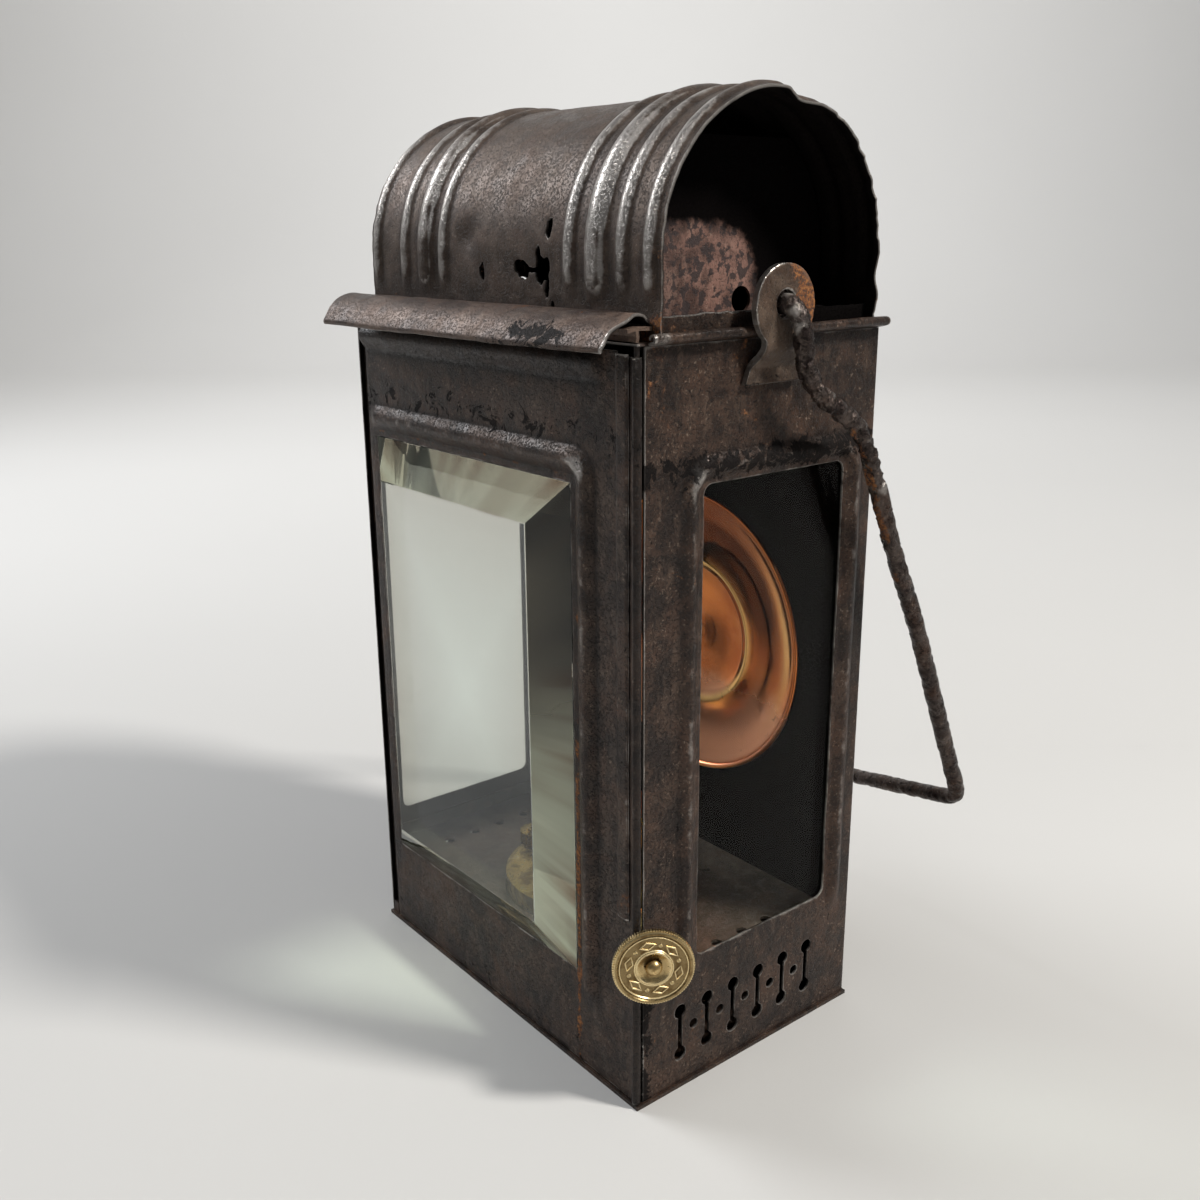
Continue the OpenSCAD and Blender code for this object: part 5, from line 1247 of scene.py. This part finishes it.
def ringTree():
    # copies of a shape round a ring, each turned with it, in the plane of the ring
    sockets = [("Count", "Int", 12), ("Ring Radius", "Float", 0.005), ("Turn", "Float", 0.0), ("Shape", "Object", None),
               ("Material", "Material", None)]
    n = NodeTree("ringOfCopies", sockets)
    i = n.inputs
    ring = n.add("GeometryNodeMeshCircle", {"Vertices": i["Count"], "Radius": i["Ring Radius"]})[0]
    shape = n.add("GeometryNodeObjectInfo", {"Object": i["Shape"]})["Geometry"]
    index = n.add("GeometryNodeInputIndex")[0]
    step = n.math("DIVIDE", 2 * math.pi, i["Count"])
    angle = n.math("ADD", n.math("MULTIPLY", index, step), 0.0)
    turn = n.add("ShaderNodeCombineXYZ", {"Z": angle})[0]
    copies = n.add("GeometryNodeInstanceOnPoints", {"Points": ring, "Instance": shape, "Rotation": turn})[0]
    real = n.add("GeometryNodeRealizeInstances", {"Geometry": copies})[0]
    whole = n.add("ShaderNodeCombineXYZ", {"Z": i["Turn"]})[0]
    turned = n.add("GeometryNodeTransform", {"Geometry": real, "Rotation": whole})[0]
    n.end(turned, i["Material"])
    return n


def ringOf(part, count, radius, turn, finish):
    # part is drawn about the ring's point, with +X away from the middle
    verts, faces, _ = part
    mesh = bpy.data.meshes.new("ringShape")
    mesh.from_pydata((verts * mm).tolist(), [], [row for f in faces for row in f.tolist()])
    shape = bpy.data.objects.new("ringShape", mesh)
    holder = bpy.data.objects.new("ringHolder", bpy.data.meshes.new("ringHolder"))
    for o in (shape, holder):
        bpy.context.scene.collection.objects.link(o)
    result = runTree(holder, ringTree(), {"Count": count, "Ring Radius": radius * mm, "Turn": turn, "Shape": shape,
                                          "Material": finish})
    bpy.data.objects.remove(shape)
    return meshParts(result)


def knobFrame(v):
    # the knob's own frame, its face at height 0 looking out along the spindle
    low, high = boxOf("wick_knob")
    out = np.array([math.cos(lampAngle), -math.sin(lampAngle), 0])
    side = np.array([math.sin(lampAngle), math.cos(lampAngle), 0])
    up = np.array([0, 0, 1.0])
    spindle = spindleAt((low[0] + high[0]) / 2)
    radius = (high[2] - low[2]) / 2
    # the disc's front centre is one radius of its face in from the box's corner
    front = np.array([high[0] - radius * math.sin(lampAngle) * 0.995, 0, spindle[2]])
    front[1] = spindleAt(front[0])[1]
    return front + v[:, :1] * side + v[:, 1:2] * up + v[:, 2:3] * out


def wickKnob(s):
    low, high = boxOf("wick_knob")
    r = (high[2] - low[2]) / 2 - 0.02
    t = s["thick"]
    face = -0.45
    profile = [(0, -t - s["hub"]), (2.2, -t - s["hub"]), (2.3, -t - 0.3), (3.2, -t), (r - 1.2, -t), (r - 0.5, -t + 0.15),
               (r - s["toothHigh"], -t + 0.6), (r - s["toothHigh"], -0.75), (r - 0.3, -0.32), (r - 0.65, -0.1),
               (r - 1.05, -0.12), (r - 1.35, face)]
    for share in s["lineAt"]:
        at = r * share
        profile += [(at + 0.24, face), (at + 0.1, face + 0.2), (at - 0.1, face + 0.2), (at - 0.24, face)]
    h = s["hollow"]
    profile += [(h + 0.55, face), (h + 0.25, -0.12), (h - 0.1, -0.08), (h - 0.5, -0.4), (h - 1.1, -0.72), (2.2, -0.9),
                (0, -0.95)]
    # the profile is kept in order from the rim inwards, so the rings of lines are sorted by radius
    head, lines, tail = profile[:12], sorted(profile[12:-7], key=lambda q: -q[0]), profile[-7:]
    disc = turned(head + lines + tail, 96, None)
    radius = disc[2]["radius"]
    tall = disc[0][:, 2]
    wear = 0.9 * ease(tall, face + 0.08, face + 0.2) * (radius < r * 0.86) * (radius > h + 0.3)
    wear += 0.8 * np.exp(-((radius - h - 0.08) / 0.3) ** 2) + 0.6 * (radius > r - 0.45)
    grime = 0.7 * ease(face + 0.1 - tall, 0, 0.1) * (radius > h) * (tall > -0.6) + 0.3 * (tall < -0.6)
    grime = np.maximum(grime, 0.55 * (radius > r * 0.86) * (radius < r - 0.5) * (tall > -0.6))
    parts = [(disc[0], disc[1], dict(wear=wear, grime=np.clip(grime, 0, 1)))]
    brass = finishes["knobBrass"]
    tooth = swept([[0, 0, -t + 0.55], [0, 0, -t / 2], [0, 0, -0.6]], 1.0, 6, flat=(0, 1, 0),
                  cross=[(0.2, -0.2), (0.2, 0.1), (0.1, 0.2), (-0.1, 0.2), (-0.2, 0.1), (-0.2, -0.2)])
    # the section's own up direction points outwards from the ring
    v = tooth[0]
    tooth = (np.stack([v[:, 1], -v[:, 0], v[:, 2]], axis=1), tooth[1], {})
    mill = ringOf(tooth, s["teeth"], r - 0.2, 0.0, brass)
    parts.append((mill[0], mill[1], dict(wear=np.full(len(mill[0]), 0.6))))
    long, wide = s["lozengeLong"], s["lozengeWide"]
    corner = [(wide, 0), (0, long), (-wide, 0), (0, -long)]
    outline = [(corner[k][0] * (1 - q) + corner[(k + 1) % 4][0] * q, corner[k][1] * (1 - q) + corner[(k + 1) % 4][1] * q)
               for k in range(4) for q in (0, 0.5)]
    lozenge = closedWire(outline, s["wire"], face + 0.08)
    d = s["dot"]
    dot = turned([(0, face - 0.2), (d, face - 0.2), (d, face + 0.1), (d * 0.8, face + 0.2), (d * 0.55, face + 0.12),
                  (d * 0.4, face + 0.02), (d * 0.25, face + 0.14), (0, face + 0.2)], 14)
    at = r * s["ringAt"]
    turn = math.pi / s["lozenges"]
    for part, spin in ((lozenge, s["twist"]), (dot, s["twist"] + turn)):
        ring = ringOf(part, s["lozenges"], at, spin, brass)
        parts.append((ring[0], ring[1], dict(wear=np.full(len(ring[0]), 0.95))))
    parts = [(knobFrame(v), [f for f in fs], marks) for v, fs, marks in parts]
    return makePiece("wickKnob", parts, brass, "wick_drive", ["wick_knob"], sharp=40)


def closedWire(outline, r, height):
    # a thin ring of wire along a flat closed outline
    outline = np.array(outline, float)
    n = len(outline)
    ahead = np.roll(outline, -1, axis=0) - np.roll(outline, 1, axis=0)
    ahead /= np.linalg.norm(ahead, axis=1)[:, None]
    out = np.stack([ahead[:, 1], -ahead[:, 0]], axis=1)
    a = np.arange(6) * math.pi / 3
    verts = np.concatenate([np.column_stack([outline + out * r * math.cos(t), np.full(n, height + r * math.sin(t))])
                            for t in a])
    k = np.arange(n)
    m = (k + 1) % n
    quads = np.concatenate([np.stack([j * n + k, j * n + m, (j + 1) % 6 * n + m, (j + 1) % 6 * n + k], axis=1)
                            for j in range(6)])
    return verts, [quads], {}


wickKnob(knobSettings)
print("knob made")


# CAD nodes whose shape is right get their finish here
nodeFinishes = dict(
    base_tray="wall", chamber_floor="floorTin", door_stop="inner", rim_wires="inner", hood_bracket="hood",
    baffle_right="baffle", baffle_left="baffle", side_glass_right="paneGlass", side_glass_left="paneGlass",
    glass_rails_right="inner", glass_rails_left="inner", door_rails="inner", hinge_pin="inner", font_body="brass",
    font_top="brass", font_clips="floorTin", filler_neck="brass", cap_washer="leather", filler_cap="brass",
    burner_collar="brass", burner_base="brass", burner_gallery="brass", burner_cone="burnerCopper", wick_tube="brass",
    wick="cotton", wick_wheels="brass", wick_spindle="brass", knob_boss="knobBrass", spindle_bush="brass")
for nodeName, finishName in nodeFinishes.items():
    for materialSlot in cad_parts[nodeName].material_slots:
        materialSlot.material = finishes[finishName]
print("node finishes set")


# Stage: pale floor that runs up into a backdrop
stageSettings = dict(near=1.6, far=1.5, wide=3.2, curve=0.6, high=2.4, floor=paint(200, 199, 197),
                     world=paint(226, 228, 230), worldStrength=0.22)


def makeStage(s):
    yaw = math.radians(cameraSettings["azimuth"])
    ahead = np.array([-math.sin(yaw), math.cos(yaw), 0])
    right = np.array([math.cos(yaw), math.sin(yaw), 0])
    a = np.linspace(0, math.pi / 2, 25)
    profile = [(-s["near"], 0), (s["far"], 0)]
    profile += [(s["far"] + s["curve"] * math.sin(t), s["curve"] * (1 - math.cos(t))) for t in a[1:]]
    profile += [(s["far"] + s["curve"], s["high"])]
    verts = [tuple(ahead * d + right * w + np.array([0, 0, h])) for d, h in profile for w in (-s["wide"], s["wide"])]
    faces = [(2 * k, 2 * k + 1, 2 * k + 3, 2 * k + 2) for k in range(len(profile) - 1)]
    mesh = bpy.data.meshes.new("stage")
    mesh.from_pydata(verts, [], faces)
    mesh.polygons.foreach_set("use_smooth", [True] * len(faces))
    f = Finish("stagePaint")
    tone = f.window(f.grain(600, 3, 0.5), 0.3, 0.7)
    colour = f.blend(f.sum(tone, 0.3, "MULTIPLY"), s["floor"], paint(192, 191, 189))
    mesh.materials.append(f.shader({"Base Color": colour, "Roughness": 0.85}))
    stage = bpy.data.objects.new("stage", mesh)
    bpy.context.scene.collection.objects.link(stage)
    world = bpy.data.worlds.new("studio")
    world.use_nodes = True
    back = world.node_tree.nodes["Background"]
    back.inputs["Color"].default_value = s["world"]
    back.inputs["Strength"].default_value = s["worldStrength"]
    bpy.context.scene.world = world


# Lamps: azimuth and elevation seen from the lantern, as the camera's; distance and size in metres, power in watts;
# the last one faces away from the lantern and lights the backdrop
lampSettings = [dict(name="key", azimuth=118, elevation=48, distance=1.1, size=0.16, power=12.5, tint=(1, 0.97, 0.92)),
                dict(name="fill", azimuth=-65, elevation=36, distance=1.2, size=0.6, power=9, tint=(0.95, 0.97, 1)),
                dict(name="top", azimuth=20, elevation=72, distance=1.2, size=0.7, power=1, tint=(1, 1, 1)),
                dict(name="backdrop", azimuth=231, elevation=66, distance=1.7, size=1.2, power=38, tint=(1, 1, 1),
                     aim=(231, 2.1, 1.2))]


def fromLantern(azimuth, across, height):
    az = math.radians(azimuth)
    return Vector((math.sin(az) * across, -math.cos(az) * across, height))


def makeLamps(lamps):
    for s in lamps:
        el = math.radians(s["elevation"])
        spot = fromLantern(s["azimuth"], math.cos(el) * s["distance"], 0.11 + math.sin(el) * s["distance"])
        aim = fromLantern(*s.get("aim", (0, 0, 0.11)))
        light = bpy.data.lights.new(s["name"], "AREA")
        light.shape = "DISK"
        light.size = s["size"]
        light.energy = s["power"]
        light.color = s["tint"]
        lamp = bpy.data.objects.new(s["name"], light)
        bpy.context.scene.collection.objects.link(lamp)
        lamp.location = spot
        lamp.rotation_mode = "QUATERNION"
        lamp.rotation_quaternion = (aim - spot).to_track_quat("-Z", "Y")


makeStage(stageSettings)
makeLamps(lampSettings)
bpy.context.scene.view_settings.view_transform = "Standard"
print("stage and lamps made")
